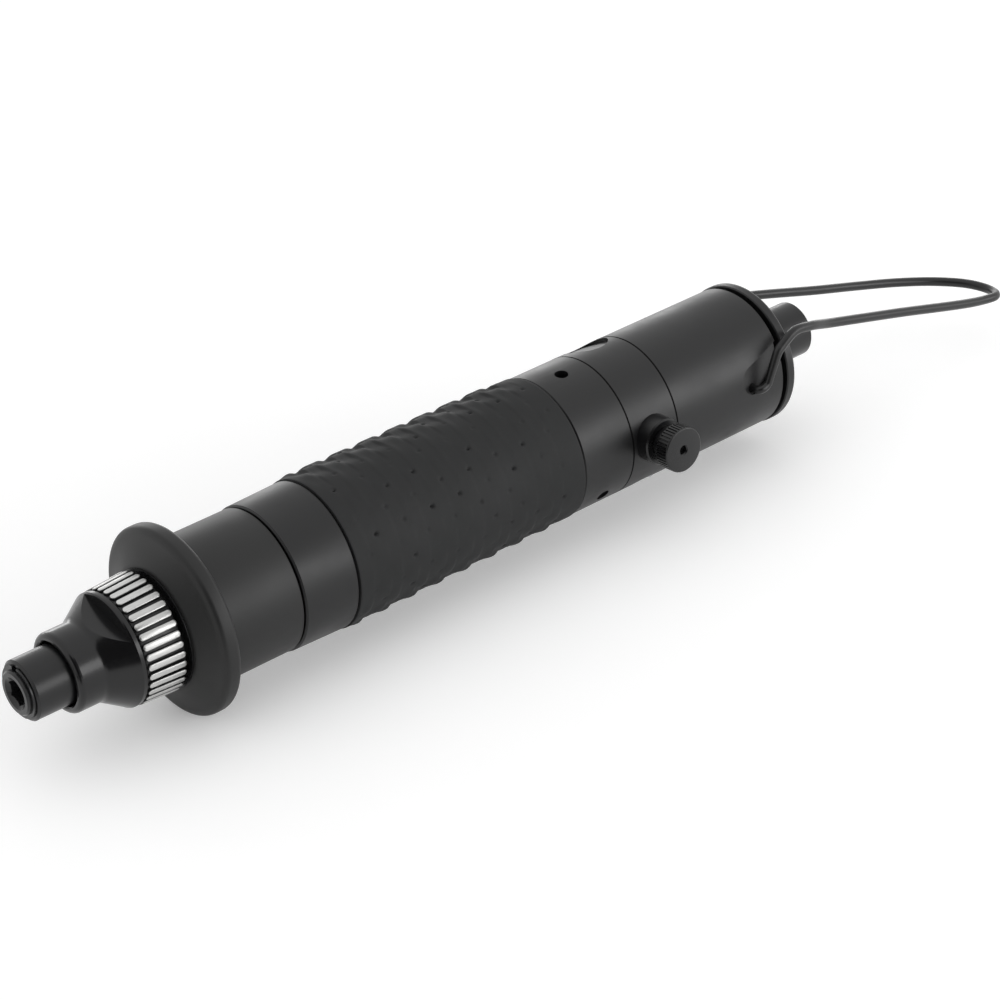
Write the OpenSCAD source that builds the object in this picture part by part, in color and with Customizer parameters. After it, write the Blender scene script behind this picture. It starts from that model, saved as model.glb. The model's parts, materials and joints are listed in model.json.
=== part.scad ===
// In-line air screwdriver, push to start, with two planetary stages and an adjustable clutch.
// The tool axis is X: the mouth of the bit socket is at the origin and the air inlet is at +X.
// The reversing knob points along -Y and the bail turns about an axis along Y.

/* [Body] */
// Outer diameter of the metal body
body_d = 40; // [39:0.5:42]
// Wall of the rear housing and of the exhaust sleeve
body_wall = 2.95; // [2.6:0.05:3]
// Length of the gear case that shows between hand guard and grip
gear_ring_len = 16.3; // [16.2:0.1:17]
// Length of the rubber grip
grip_len = 76.7; // [76:0.1:84]
// Length of bare motor housing behind the grip
exhaust_len = 17.1; // [16.5:0.1:20]
// Length of the valve ring
valve_len = 16.2; // [16:0.1:20]
// Length of the rear housing
rear_len = 40; // [39:0.5:46]
// Width of the exhaust gap in front of the end cap
cap_gap = 1.4; // [0.8:0.1:2]
// Thickness of the end cap
cap_len = 3.1; // [2.5:0.1:4]
// Diameter of the three exhaust holes
exhaust_hole_d = 3.8; // [3:0.1:5]

/* [Chuck] */
// Hexagon socket across its flats
socket_af = 6.45; // [6.4:0.01:6.5]
// Depth of the hexagon socket
socket_depth = 16; // [15:0.5:17]
// Length of bit holder in front of the sleeve
tip_proud = 1.6; // [1.5:0.1:2]
// Diameter of the bit holder in the sleeve
holder_d = 11.9; // [11.8:0.05:12]
// Diameter of the chuck sleeve
sleeve_d = 16.1; // [16:0.05:16.4]
// Length of the chuck sleeve
sleeve_len = 11.3; // [11.1:0.1:11.5]
// Length of the sleeve that stands inside the nose
sleeve_tuck = 1.1; // [0.8:0.1:1.2]
// Diameter of the locking balls
lock_ball_d = 3.1; // [3:0.02:3.12]
// How far the bit holder is pushed in to start the motor
push_travel = 3; // [2:0.5:3]
// How far the sleeve is pulled back to free the bit
sleeve_travel = 2.7; // [2.5:0.1:2.8]
// Diameter of the spindle in its bush
spindle_d = 10; // [9.8:0.1:10.2]

/* [Nose] */
// Diameter of the front of the nose
nose_d = 21.4; // [21:0.1:23]
// Diameter of the hole that the sleeve runs in
nose_mouth_d = 17.3; // [17.1:0.1:17.6]
// Length of the straight front of the nose
nose_land_len = 8; // [7.8:0.1:9]
// Length of the cone and the land behind it
nose_cone_len = 8.5; // [8.3:0.1:11]
// Length of that land in front of the knurled ring
nose_rear_land = 1.3; // [1:0.1:2]
// Radius of the fillet in front of the cone
nose_fillet = 2.5; // [1:0.5:4]
// Radius of the nose's front edge
nose_edge = 1.5; // [0.8:0.1:1.8]
// Diameter of the nose at the knurled ring
nose_rear_d = 30.7; // [30:0.1:31]
// Width across the two wrench flats
nose_flat_af = 22.4; // [21.6:0.2:24]
// Length of land behind the wrench flats
nose_flat_land = 1.7; // [1.5:0.1:4]

/* [Torque ring] */
// Length of the knurled ring
ring_len = 11.1; // [11:0.1:12]
// Diameter over the ribs at the front
ring_front_d = 31.1; // [31:0.1:31.6]
// Diameter over the ribs at the rear
ring_rear_d = 32.4; // [32:0.1:33]
// Number of ribs
rib_count = 36; // [30:1:40]
// Width of a rib
rib_w = 1.5; // [1.3:0.05:1.7]
// Height of a rib over the ring
rib_h = 0.8; // [0.5:0.1:0.9]
// Travel of the clutch adjuster to either side of its middle setting
adjust_travel = 1.25; // [1:0.05:1.3]

/* [Hand guard] */
// Diameter of the guard's rim
guard_d = 51; // [46:0.5:54]
// Thickness of the rim
guard_rim = 4.7; // [4:0.1:6]
// Diameter of the guard's boot
boot_d = 39.3; // [39:0.1:40]
// Length of the guard with its boot
guard_len = 31.8; // [31.6:0.1:33]
// Diameter of the clutch case inside the boot
clutch_case_d = 32; // [31.6:0.1:32.4]

/* [Grip] */
// Height of the grip over the body at its front end
grip_rise = 0.7; // [0.5:0.05:1.5]
// Height of the grip over the body at its rear end
grip_rear_rise = 0.25; // [0.2:0.05:1]
// Depth that the grip is let into the body
grip_seat = 1; // [0.9:0.05:1.1]
// Diameter of a raised scale
scale_d = 6.2; // [5:0.2:6.4]
// Number of scales round the grip
scale_count = 13; // [8:1:13]
// Number of rings of scales along the grip
scale_rows = 16; // [6:1:16]
// Distance between the rings of scales
scale_pitch = 4.4; // [4.3:0.1:4.6]

/* [Gears] */
// Tooth module
gear_m = 0.7; // [0.69:0.01:0.71]
// Face width of the planets
planet_w = 5.2; // [4.6:0.1:5.2]
// Diameter of the planet pins
planet_pin_d = 3; // [2.6:0.1:3.2]
// Gap between tooth flanks
backlash = 0.16; // [0.12:0.01:0.24]

/* [Motor] */
// Diameter of the rotor
rotor_d = 23; // [22:0.2:23]
// Length of the rotor
rotor_len = 52.6; // [46:0.2:54]
// Bore of the motor cylinder
cylinder_bore_d = 26.4; // [26.2:0.1:26.4]
// Number of vanes
vane_count = 5; // [4:1:6]
// Thickness of a vane
vane_t = 1.7; // [1.2:0.1:2]
// Depth of a vane slot
vane_slot_depth = 6.4; // [5:0.2:6.4]
// Diameter of the push rod
rod_d = 2.4; // [2:0.1:2.5]

/* [Reversing valve] */
// Distance from the front of the valve ring to the knob's axis
knob_x = 7.6; // [7:0.1:8]
// Diameter of the knob
knob_d = 12.6; // [12:0.2:14]
// Thickness of the knurled part of the knob
knob_t = 4.4; // [3.5:0.1:5]
// Height of the knob's face over the tool axis
knob_top = 31.4; // [31:0.1:33]
// Diameter of the gland nut under the knob
gland_d = 13; // [12.6:0.1:13.4]
// Diameter of the valve spool
spool_d = 11.9; // [11.5:0.1:12]
// Diameter of the round spot faces on the valve ring
spot_d = 12.6; // [8:0.2:13]
// Depth of the spot faces
spot_depth = 1.2; // [0.4:0.1:1.4]

/* [Inlet] */
// Tapping bore of the quarter inch inlet thread
inlet_bore_d = 11.44; // [11.4:0.01:11.6]
// Depth of the inlet thread
inlet_depth = 17; // [14:0.5:18]
// Outer diameter of the inlet bush
inlet_d = 15.8; // [15.4:0.1:16.4]
// Length of the bush behind the end cap
inlet_out = 19.2; // [17:0.2:24]

/* [Bail] */
// Diameter of the bail wire
wire_d = 2.4; // [1.8:0.1:2.4]
// Distance from the rear of the housing to the bail's pivot
pivot_back = 10.8; // [10.5:0.1:12]
// Distance of each leg from the tool axis at the pivot
leg_out = 21.7; // [21.7:0.1:22.5]
// Half the width of the loop near its end
loop_half = 14.5; // [12.5:0.5:16]
// Length of the bail behind its pivot
bail_len = 108.8; // [100:0.2:130]
// Depth of the pocket that the leg lies in
pocket_depth = 1.8; // [0.8:0.1:1.9]

/* [Hidden] */
$fn = 64;
black = [0.07, 0.07, 0.075];
satin = [0.11, 0.11, 0.115];
steel = [0.62, 0.63, 0.65];
brass = [0.72, 0.58, 0.32];
run = 0.04;          // radial clearance of a running fit
seat = 0.03;         // radial clearance between pieces that don't move
face = 0.1;          // gap between flat faces that pass each other
clear = 0.3;         // gap between curved faces that pass each other
fine = 0.01;         // how far a cut runs past its face

// Stations along the axis, from the mouth of the socket to the end of the inlet
body_r = body_d / 2;
x_sleeve = tip_proud;
x_nose = x_sleeve + sleeve_len - sleeve_tuck;
x_cone = x_nose + nose_land_len;
x_ring = x_cone + nose_cone_len;
ring_gap = 1.8;
x_guard = x_ring + ring_len + ring_gap;
x_gear = x_guard + guard_len;
x_grip = x_gear + gear_ring_len;
x_sleeve_rear = x_grip + grip_len;
x_valve = x_sleeve_rear + exhaust_len;
x_rear = x_valve + valve_len;
x_gap = x_rear + rear_len;
x_cap = x_gap + cap_gap;
x_cap_end = x_cap + cap_len;
x_end = x_cap_end + inlet_out;

// Chuck
socket_lead = 1;
ball_x = socket_depth - 9.7;
lock_ball_r = lock_ball_d / 2;
ball_rho = holder_d / 2 - 0.05 - lock_ball_r;
ball_hole_r = lock_ball_r + 0.05;
snap_t = 0.6;
snap_groove = 0.75;
sleeve_snap_x = tip_proud - snap_t - 0.05;
sleeve_snap_r = sleeve_d / 2 - 1.1;
land_r = holder_d / 2 + 0.05;
lip_len = 0.7;
groove_end = ball_x - 1.1;
land_end = ball_x + 2.1;
spring_chamber_r = sleeve_d / 2 - 0.8;
collar_r = spring_chamber_r - 0.25;
collar_x = land_end + 5;
collar_len = 1.4;
chuck_wire = 0.5;
bush_x = x_sleeve + sleeve_len + push_travel + sleeve_travel + 1.4;
bush_len = 12.2;
bush_r = 7.5;
spindle_snap_x = bush_x + bush_len + face;
spindle_snap_r = 6.3;
tail_x = spindle_snap_x + snap_t + 0.6;
tail_af = 8;
tail_len = 9.8;
tail_end = tail_x + tail_len;

// Nose, torque ring and clutch
spigot_r = 13.2;
chamber_r = 10.9;
chamber_x = x_ring + 4.7;
nose_end = x_ring + 16.7;
case_r = clutch_case_d / 2;
case_bore_r = case_r - 1.8;
case_x = x_guard - 0.4;
rib_top = 0.25;
rib_end = 0.15;
rib_foot = 0.4;
ear_w = 4.8;
ear_r = spigot_r + 0.95;
adjuster_t = 2;
adjuster_x = chamber_x + 0.5 + adjust_travel;
ring_bore_r = spigot_r + 0.06;
ring_thread_r = ear_r + 0.06;
ring_step_x = adjuster_x - adjust_travel - clear;
washer_x = nose_end + 5.3;
washer_t = 1.1;
thrust_ball_r = 1;
thrust_ball_rho = 8.8;
driven_x = washer_x + washer_t + 2 * thrust_ball_r + 2 * face;
cam_r = 11;
driven_t = 3.5;
hub_r = 6.4;
hub_x = tail_x + push_travel + clear;
cam_gap = 2;
clutch_ball_r = 2;
clutch_ball_rho = 8;
clutch_ball_x = driven_x + driven_t + cam_gap / 2;
drive_x = driven_x + driven_t + cam_gap;
drive_t = 3.2;
clutch_wire = 1.5;
clutch_spring_rho = 9.4;

// Gear train: the tooth numbers set the ratio of the joints, 4.5 to 1 in each stage
sun_z = 12;
planet_z = 15;
sun_r = gear_m * sun_z / 2;
planet_r = gear_m * planet_z / 2;
ring_z = sun_z + 2 * planet_z;
ring_r = gear_m * ring_z / 2;
centre_r = sun_r + planet_r;
rod_bore_r = rod_d / 2 + clear;
pin_r = planet_pin_d / 2;
journal_r = 5.5;
carrier_nose_af = 9;
carrier_t = 3.2;
disc_r = 12.2;
output_bearing_x = drive_x + drive_t + 0.7;
output_bearing_len = 7;
output_bearing_r = 12;
output_disc_x = output_bearing_x + output_bearing_len + 1.5;
output_planet_x = output_disc_x + carrier_t + 0.6;
input_disc_x = output_planet_x + planet_w + 0.6;
input_disc_t = 2.6;
input_planet_x = input_disc_x + input_disc_t + 0.4;
gear_bore_r = body_r - 3.05;
gear_spigot_len = 5;
gear_spigot_r = body_r - grip_seat - 1.05;
ring_gear_r = gear_bore_r - seat;
ring_gear_x = output_planet_x - 0.2;
pinion_end = input_planet_x + planet_w + 1.4;

// Motor
bore_r = body_r - body_wall;
tube_r = body_r - grip_seat;
grip_front_r = body_r + grip_rise;
grip_rear_r = body_r + grip_rear_rise;
plate_r = bore_r - 0.05;
front_plate_x = x_grip + gear_spigot_len;
front_plate_t = 5.1;
ring_gear_end = front_plate_x - 0.05;
front_bearing_x = front_plate_x - 1.2;
front_bearing_len = 5;
front_bearing_r = 11;
front_journal_r = 5;
cylinder_x = front_plate_x + front_plate_t;
cylinder_len = rotor_len + 0.4;
cylinder_r = plate_r;
cylinder_shift = cylinder_bore_d / 2 - rotor_d / 2 - face;
rear_plate_x = cylinder_x + cylinder_len;
rear_plate_t = 5.2;
rear_collar_r = 12;
rear_collar_len = 1.2;
rear_bearing_r = 9.5;
rear_bearing_len = 4.8;
rear_journal_r = 4;
rear_bearing_x = rear_plate_x + 1.2;
vane_r = rotor_d / 2 - 0.1;

// Valves, rear housing and bail
valve_front_x = rear_plate_x + rear_plate_t + face;
knob_axis_x = x_valve + knob_x;
spool_r = spool_d / 2;
spool_bore_r = spool_r + run;
spool_in = 4.3;
stem_r = 3;
gland_in = 14;
gland_seat = 18.5;
gland_top = knob_top - knob_t - 3;
knob_r = knob_d / 2;
knob_rib_count = 40;
pin_rho = 9.8;
valve_pin_r = 1.2;
valve_pin_out = spool_r - 0.4;
valve_pin_len = 22;
valve_pin_z = -17;
exhaust_x = x_sleeve_rear + 8.5;
groove_r = plate_r - 1.8;
supply_rho = plate_r - 3.1;
supply_r = 1.2;
exhaust_rho = plate_r - 2.4;
exhaust_r = 1.6;
exhaust_angles = [82, -38, 202];
spot_angles = [112, -68];
seat_x = x_rear + 3.7;
seat_len = 4.2;
seat_r = 6;
inlet_r = inlet_d / 2;
inlet_x = seat_x + seat_len;
inlet_wall = 2;
valve_end = inlet_x + 4.8;
web_x = x_gap - 9.3;
web_t = 3;
thread_x = x_end - inlet_depth;
screen_t = 0.6;
screen_r = inlet_bore_d / 2 - 0.3;
poppet_r = 4.4;
poppet_t = 3;
guide_r = 1.8;
throttle_wire = 1.1;
seal_r = 0.7;
pivot_x = x_gap - pivot_back;
wire_r = wire_d / 2;
pivot_hole_r = wire_r + 0.08;
pocket_lean = 14;     // the pocket's floor faces this much above the pivot

// Corners of the two bail legs: distance behind the pivot, distance from the axis, height, bend
// radius. The near leg, on the knob's side, was bent up more than the far one.
near_leg = [
    [0, leg_out - 1.9, 0, 0],
    [0, leg_out, 0, 1.6],
    [3.4, leg_out, 0.5, 2.4],
    [7.6, leg_out, 9.6, 4],
    [13.6, leg_out - 0.1, 13, 5],
    [20.4, leg_out - 0.9, 12.2, 6],
    [31.4, leg_out - 3.7, 7.5, 12],
    [43.5, loop_half + 1, 3.3, 20]];
far_leg = [
    [0, leg_out - 1.9, 0, 0],
    [0, leg_out, 0, 1.6],
    [5, leg_out, 0.8, 3],
    [16.5, leg_out, 6, 8],
    [26, leg_out - 2.4, 6.9, 8],
    [43, loop_half + 1, 3.3, 20]];
// The loop behind them was bent by hand too and is not quite even
loop_len = 47.4;
loop = [
    [bail_len - loop_len, -loop_half, -1.9, 20],
    [bail_len - 26, 0.6 - loop_half, -7.4, 20],
    [bail_len - 11, -loop_half - 1.4, -11.4, 6],
    [bail_len + 0.4, -loop_half + 2, -14.3, 8],
    [bail_len + 0.6, -2.4, -14.3, 9],
    [bail_len - 9, 8.8, -11.8, 16],
    [bail_len - 24, loop_half + 0.4, -8, 18],
    [bail_len - loop_len, loop_half + 0.4, -1.9, 20]];
bail_route = concat([for (p = near_leg) [p[0], -p[1], p[2], p[3]]], loop,
    [for (i = [len(far_leg) - 1:-1:0]) far_leg[i]]);

// Small helpers
function lerp(a, b, t) = a + (b - a) * t;
function unit(v) = v / norm(v);
function arc(c, r, a0, a1, n = 6) = [for (i = [0:n]) let (a = lerp(a0, a1, i / n))
    [c[0] + r * cos(a), c[1] + r * sin(a)]];

// A profile of [x, radius] points turned round the tool axis
module turned(points) {
    rotate([0, 90, 0]) rotate_extrude() polygon([for (p = points) [p[1], p[0]]]);
}

// A round bar along the tool axis
module rod(x0, x1, r) {
    translate([x0, 0, 0]) rotate([0, 90, 0]) cylinder(h = x1 - x0, r = r);
}

module cone(x0, x1, r0, r1) {
    translate([x0, 0, 0]) rotate([0, 90, 0]) cylinder(h = x1 - x0, r1 = r0, r2 = r1);
}

module tube(x0, x1, outer, inner) {
    difference() {
        rod(x0, x1, outer);
        rod(x0 - fine, x1 + fine, inner);
    }
}

module hex_bar(x0, x1, af) {
    translate([x0, 0, 0]) rotate([0, 90, 0]) cylinder(h = x1 - x0, r = af / 2 / cos(30), $fn = 6);
}

// Copies spread evenly round the tool axis
module around(count, start = 0) {
    for (i = [0:count - 1]) rotate([start + i * 360 / count, 0, 0]) children();
}

// Puts a shape that stands on +Z at station x, facing angle a from -Y towards +Z
module facing(x, a) {
    translate([x, 0, 0]) rotate([90 - a, 0, 0]) children();
}

// A shielded bearing: one ring with a shallow recess in each side
module bearing(x0, x1, outer, inner) {
    step = (outer - inner) * 0.28;
    turned([[x0, inner], [x0, inner + step], [x0 + 0.4, inner + step], [x0 + 0.4, outer - step],
        [x0, outer - step], [x0, outer], [x1, outer], [x1, outer - step],
        [x1 - 0.4, outer - step], [x1 - 0.4, inner + step], [x1, inner + step], [x1, inner]]);
}

// Rings of points along a path, carried along it without twist, joined to one closed tube
function tangent(p, i) = unit(p[min(i + 1, len(p) - 1)] - p[max(i - 1, 0)]);
function side_of(v, t) = unit(v - (v * t) * t);
function carried(p, i, v) = i == len(p) ? [] :
    let (t = tangent(p, i), s = side_of(v, t)) concat([[s, cross(t, s)]], carried(p, i + 1, s));
module swept(path, r, sides, start) {
    frames = carried(path, 0, start);
    last = (len(path) - 1) * sides;
    points = [for (i = [0:len(path) - 1]) for (k = [0:sides - 1]) let (a = k * 360 / sides)
        path[i] + r * (cos(a) * frames[i][0] + sin(a) * frames[i][1])];
    faces = concat(
        [for (k = [1:sides - 2]) [0, k, k + 1]],
        [for (k = [1:sides - 2]) [last, last + k + 1, last + k]],
        [for (i = [0:len(path) - 2]) for (k = [0:sides - 1]) let (a = i * sides, n = (k + 1) % sides)
            [a + k, a + sides + k, a + n]],
        [for (i = [0:len(path) - 2]) for (k = [0:sides - 1]) let (a = i * sides, n = (k + 1) % sides)
            [a + n, a + sides + k, a + sides + n]]);
    polyhedron(points, faces);
}

// A compression spring along the tool axis, with its last half turns closed on the end faces
function coil_x(x0, x1, r, turns, t) = let (a = x0 + r, b = x1 - r,
        e = 0.5 / turns, k = (t - e) / (1 - 2 * e))
    t < e ? a : t > 1 - e ? b : lerp(a, b, k);
function coil(x0, x1, rho, r, turns, step = 18) = [for (i = [0:turns * step])
    let (t = i / (turns * step), a = 360 * turns * t)
    [coil_x(x0, x1, r, turns, t), rho * cos(a), rho * sin(a)]];
function coil_gap(x0, x1, r, turns) = (x1 - x0 - 2 * r) / (turns - 1) - 2 * r;

// One gear outline from the involute: tooth number, tip radius, root radius, play at the flank
function inv(a) = tan(a) * 180 / PI - a;
pressure = 25;
function half_tooth(z, r, play) = let (rp = gear_m * z / 2, rb = rp * cos(pressure))
    90 / z - play / rp * 45 / PI + inv(pressure) - (r > rb ? inv(acos(rb / r)) : 0);
function gear_outline(z, tip, root, play) = [for (i = [0:z - 1]) for (s = [-1, 1])
    for (k = [0:3]) let (t = s < 0 ? k / 3 : 1 - k / 3, r = lerp(root, tip, t),
        a = i * 360 / z + s * half_tooth(z, max(r, root + 0.12), play)) [r * cos(a), r * sin(a)]];
module gear(x0, x1, z) {
    rp = gear_m * z / 2;
    translate([x1, 0, 0]) rotate([0, -90, 0]) linear_extrude(x1 - x0)
        polygon(gear_outline(z, rp + 0.85 * gear_m, rp - 1.1 * gear_m, backlash));
}

module bit_holder() color(satin) difference() {
    union() {
        turned([[0, 0], [0, holder_d / 2 - 0.5], [0.5, holder_d / 2],
            [sleeve_snap_x, holder_d / 2], [sleeve_snap_x, holder_d / 2 - snap_groove],
            [sleeve_snap_x + snap_t, holder_d / 2 - snap_groove],
            [sleeve_snap_x + snap_t, holder_d / 2], [collar_x, holder_d / 2],
            [collar_x, collar_r], [collar_x + collar_len, collar_r],
            [collar_x + collar_len, spindle_d / 2], [spindle_snap_x, spindle_d / 2],
            [spindle_snap_x, spindle_d / 2 - snap_groove],
            [spindle_snap_x + snap_t, spindle_d / 2 - snap_groove],
            [spindle_snap_x + snap_t, spindle_d / 2], [tail_x, spindle_d / 2], [tail_x, 0]]);
        hex_bar(tail_x - 0.5, tail_end, tail_af);
    }
    hex_bar(-1, socket_depth, socket_af);
    cone(-fine, socket_lead, socket_af / 2 + 1.15, socket_af / 2 + 0.1);
    around(3) translate([ball_x, 0, socket_af / 2 - 1]) cylinder(h = holder_d, r = ball_hole_r);
}

module chuck_sleeve() color(black)
    turned([[x_sleeve, land_r + 0.75], [x_sleeve, sleeve_d / 2 - 0.6],
        [x_sleeve + 0.6, sleeve_d / 2], [x_sleeve + sleeve_len - 0.4, sleeve_d / 2],
        [x_sleeve + sleeve_len, sleeve_d / 2 - 0.3], [x_sleeve + sleeve_len, spring_chamber_r],
        [land_end, spring_chamber_r], [land_end, land_r], [groove_end, land_r],
        [groove_end - 0.4, land_r + 1.2], [x_sleeve + lip_len + 0.5, land_r + 1.2],
        [x_sleeve + lip_len, land_r], [x_sleeve + lip_len - 0.1, land_r]]);

module chuck_spring() color(steel)
    swept(coil(land_end + 0.05, collar_x - 0.05, land_r + 0.62, chuck_wire / 2, 4, 12),
        chuck_wire / 2, 6, [1, 0, 0]);

module locking_balls() color(steel)
    around(3) translate([ball_x, 0, ball_rho]) sphere(r = lock_ball_r);

// An open spring ring in its groove
module snap_ring(x, inner, outer) difference() {
    tube(x + 0.03, x + snap_t - 0.03, outer, inner);
    translate([x - 1, -1, inner - 1]) cube([snap_t + 2, 2, outer]);
}

module sleeve_snap_ring() color(steel)
    snap_ring(sleeve_snap_x, holder_d / 2 - snap_groove + seat, sleeve_snap_r);

module spindle_snap_ring() color(steel)
    snap_ring(spindle_snap_x, spindle_d / 2 - snap_groove + seat, spindle_snap_r);

module nose_piece() color(black) difference() {
    cone_slope = atan((nose_rear_d - nose_d) / 2 / (nose_cone_len - nose_rear_land));
    turned(concat(
        [[x_nose, nose_mouth_d / 2 + 0.4]],
        arc([x_nose + nose_edge, nose_d / 2 - nose_edge], nose_edge, 180, 90, 5),
        arc([x_cone - nose_fillet * tan(cone_slope / 2), nose_d / 2 + nose_fillet], nose_fillet,
            270, 270 + cone_slope, 4),
        [[x_ring - nose_rear_land, nose_rear_d / 2], [x_ring - 0.3, nose_rear_d / 2],
        [x_ring, nose_rear_d / 2 - 0.3], [x_ring, spigot_r], [nose_end, spigot_r], [nose_end, chamber_r],
        [chamber_x, chamber_r], [chamber_x, bush_r], [bush_x, bush_r],
        [bush_x, nose_mouth_d / 2], [x_nose + 0.4, nose_mouth_d / 2]]));
    for (a = [72, 252]) facing(x_cone, a) translate([-nose_d, -nose_d, nose_flat_af / 2])
        cube([nose_d + nose_cone_len - nose_flat_land, 2 * nose_d, nose_d]);
    around(3, 30) translate([adjuster_x - adjust_travel - clear, -ear_w / 2 - 0.1, 0])
        cube([adjuster_t + 2 * (adjust_travel + clear), ear_w + 0.2, spigot_r + 1]);
}

module nose_bush() color(brass)
    tube(bush_x, bush_x + bush_len, bush_r - seat, spindle_d / 2 + run);

// A rib of the torque ring: a bar with round ends and narrowed top, lying on the ring's taper
module ring_rib() {
    slope = atan((ring_rear_d - ring_front_d) / 2 / ring_len);
    mid = (ring_front_d + ring_rear_d) / 4;
    translate([x_ring + (ring_len + face) / 2, 0, mid - rib_h]) rotate([0, -slope, 0])
        for (step = [[0, -rib_foot, rib_h - rib_top], [rib_top, 0, rib_h]]) {
            r = rib_w / 2 - step[0];
            half = (ring_len - face) / 2 - rib_end - rib_w / 2;
            translate([0, 0, step[1]]) linear_extrude(step[2] - step[1]) polygon(concat(
                arc([half, 0], r, -90, 90, 6), arc([-half, 0], r, 90, 270, 6)));
        }
}

module knurled_ring() color(steel) {
    turned([[x_ring + face, ring_bore_r],
        [x_ring + face, ring_front_d / 2 - rib_h - 0.5],
        [x_ring + face + 0.5, ring_front_d / 2 - rib_h],
        [x_ring + ring_len - 0.5, ring_rear_d / 2 - rib_h],
        [x_ring + ring_len, ring_rear_d / 2 - rib_h - 0.5],
        [x_ring + ring_len, ring_thread_r], [ring_step_x, ring_thread_r],
        [ring_step_x, ring_bore_r]]);
    around(rib_count) ring_rib();
}

module clutch_adjuster() color(steel) difference() {
    union() {
        rod(adjuster_x, adjuster_x + adjuster_t, chamber_r - 0.06);
        around(3, 30) intersection() {
            translate([adjuster_x, -ear_w / 2, 0]) cube([adjuster_t, ear_w, ear_r + 1]);
            rod(adjuster_x, adjuster_x + adjuster_t, ear_r);
        }
    }
    rod(adjuster_x - 1, adjuster_x + adjuster_t + 1, hub_r + 0.6);
}

module clutch_spring() color(steel)
    swept(coil(adjuster_x + adjuster_t + 0.05, washer_x - 0.05, clutch_spring_rho,
        clutch_wire / 2, 5, 16), clutch_wire / 2, 8, [1, 0, 0]);

module thrust_washer() color(steel)
    tube(washer_x, washer_x + washer_t, cam_r, hub_r + 0.2);

module thrust_balls() color(steel)
    around(10) translate([driven_x - face / 2 - thrust_ball_r - face / 2, 0, thrust_ball_rho])
        sphere(r = thrust_ball_r);

module driven_cam() color(steel) difference() {
    union() {
        rod(hub_x, driven_x + fine, hub_r);
        turned([[driven_x, 0], [driven_x, cam_r - 0.5], [driven_x + 0.5, cam_r],
            [driven_x + driven_t, cam_r], [driven_x + driven_t, 0]]);
    }
    hex_bar(hub_x - 1, tail_end + push_travel + 0.5, tail_af + 0.1);
    rod(tail_end, driven_x + driven_t + 1, rod_bore_r);
    around(3) translate([clutch_ball_x, 0, clutch_ball_rho]) sphere(r = clutch_ball_r + 0.02);
}

module clutch_balls() color(steel)
    around(3) translate([clutch_ball_x, 0, clutch_ball_rho]) sphere(r = clutch_ball_r);

module drive_cam() color(steel) difference() {
    turned([[drive_x, 0], [drive_x, cam_r], [drive_x + drive_t - 0.5, cam_r],
        [drive_x + drive_t, cam_r - 0.5], [drive_x + drive_t, 0]]);
    hex_bar(drive_x - 1, drive_x + drive_t + 1, carrier_nose_af + 0.06);
    around(3) translate([clutch_ball_x, 0, clutch_ball_rho]) sphere(r = clutch_ball_r + 0.02);
}

module clutch_case() color(steel)
    turned([[case_x, spigot_r + seat], [case_x, case_r - seat], [x_gear - seat, case_r - seat],
        [x_gear - seat, case_bore_r], [nose_end + 0.1, case_bore_r],
        [nose_end + 0.1, spigot_r + seat]]);

// Rubber guard: a flared rim in front and a plain boot over the clutch case
module hand_guard() color(black) {
    rim_x = x_guard + 3.2;
    rim_r = guard_d / 2;
    boot_r = boot_d / 2;
    dish = 30;
    edge = 1.5;
    turned(concat(
        [[x_guard, case_r], [x_guard, case_r + 0.7], [x_guard + 0.25, case_r + 1.3]],
        arc([rim_x - 0.985 * dish, rim_r + 5.3], dish, -25.6, -12.5, 6),
        arc([rim_x + edge - 0.2, rim_r - edge], edge, 165, 90, 5),
        arc([rim_x + guard_rim - edge, rim_r - edge], edge, 90, 0, 5),
        arc([rim_x + guard_rim + 2.6, boot_r + 2.6], 2.6, 180, 270, 6),
        [[x_gear - 0.1, boot_r], [x_gear - 0.1, case_r]]));
}

module output_bearing() color(steel)
    bearing(output_bearing_x, output_bearing_x + output_bearing_len, output_bearing_r - seat,
        journal_r + run);

// A planet carrier's disc with its pin holes, from x0 to x1
module carrier_disc(x0, x1) difference() {
    turned([[x0, 0], [x0, disc_r - 0.4], [x0 + 0.4, disc_r], [x1, disc_r], [x1, 0]]);
    around(3) translate([0, 0, centre_r]) rod(x0 - 1, x1 + 1, pin_r + 0.01);
}

module carrier_pins(x0, x1) around(3) translate([0, 0, centre_r]) rod(x0, x1, pin_r);

module output_carrier() color(steel) difference() {
    union() {
        hex_bar(drive_x + 0.2, output_bearing_x, carrier_nose_af);
        rod(output_bearing_x - 0.65, output_disc_x + fine, journal_r);
        carrier_disc(output_disc_x, output_disc_x + carrier_t);
    }
    rod(drive_x - 1, output_disc_x + carrier_t + 1, rod_bore_r);
}

module output_pins() color(steel)
    carrier_pins(output_disc_x + 0.1, output_planet_x + planet_w + 0.2);

module planet(x0, index) rotate([120 * index, 0, 0]) translate([0, 0, centre_r]) difference() {
    gear(x0, x0 + planet_w, planet_z);
    rod(x0 - 1, x0 + planet_w + 1, pin_r + run);
}

module output_planet_1() color(steel) planet(output_planet_x, 0);
module output_planet_2() color(steel) planet(output_planet_x, 1);
module output_planet_3() color(steel) planet(output_planet_x, 2);

module input_carrier() color(steel) difference() {
    union() {
        gear(output_planet_x, input_disc_x + fine, sun_z);
        carrier_disc(input_disc_x, input_disc_x + input_disc_t);
    }
    rod(output_planet_x - 1, input_disc_x + input_disc_t + 1, rod_bore_r);
}

module input_pins() color(steel)
    carrier_pins(input_disc_x + 0.1, input_planet_x + planet_w + 0.2);

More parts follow.
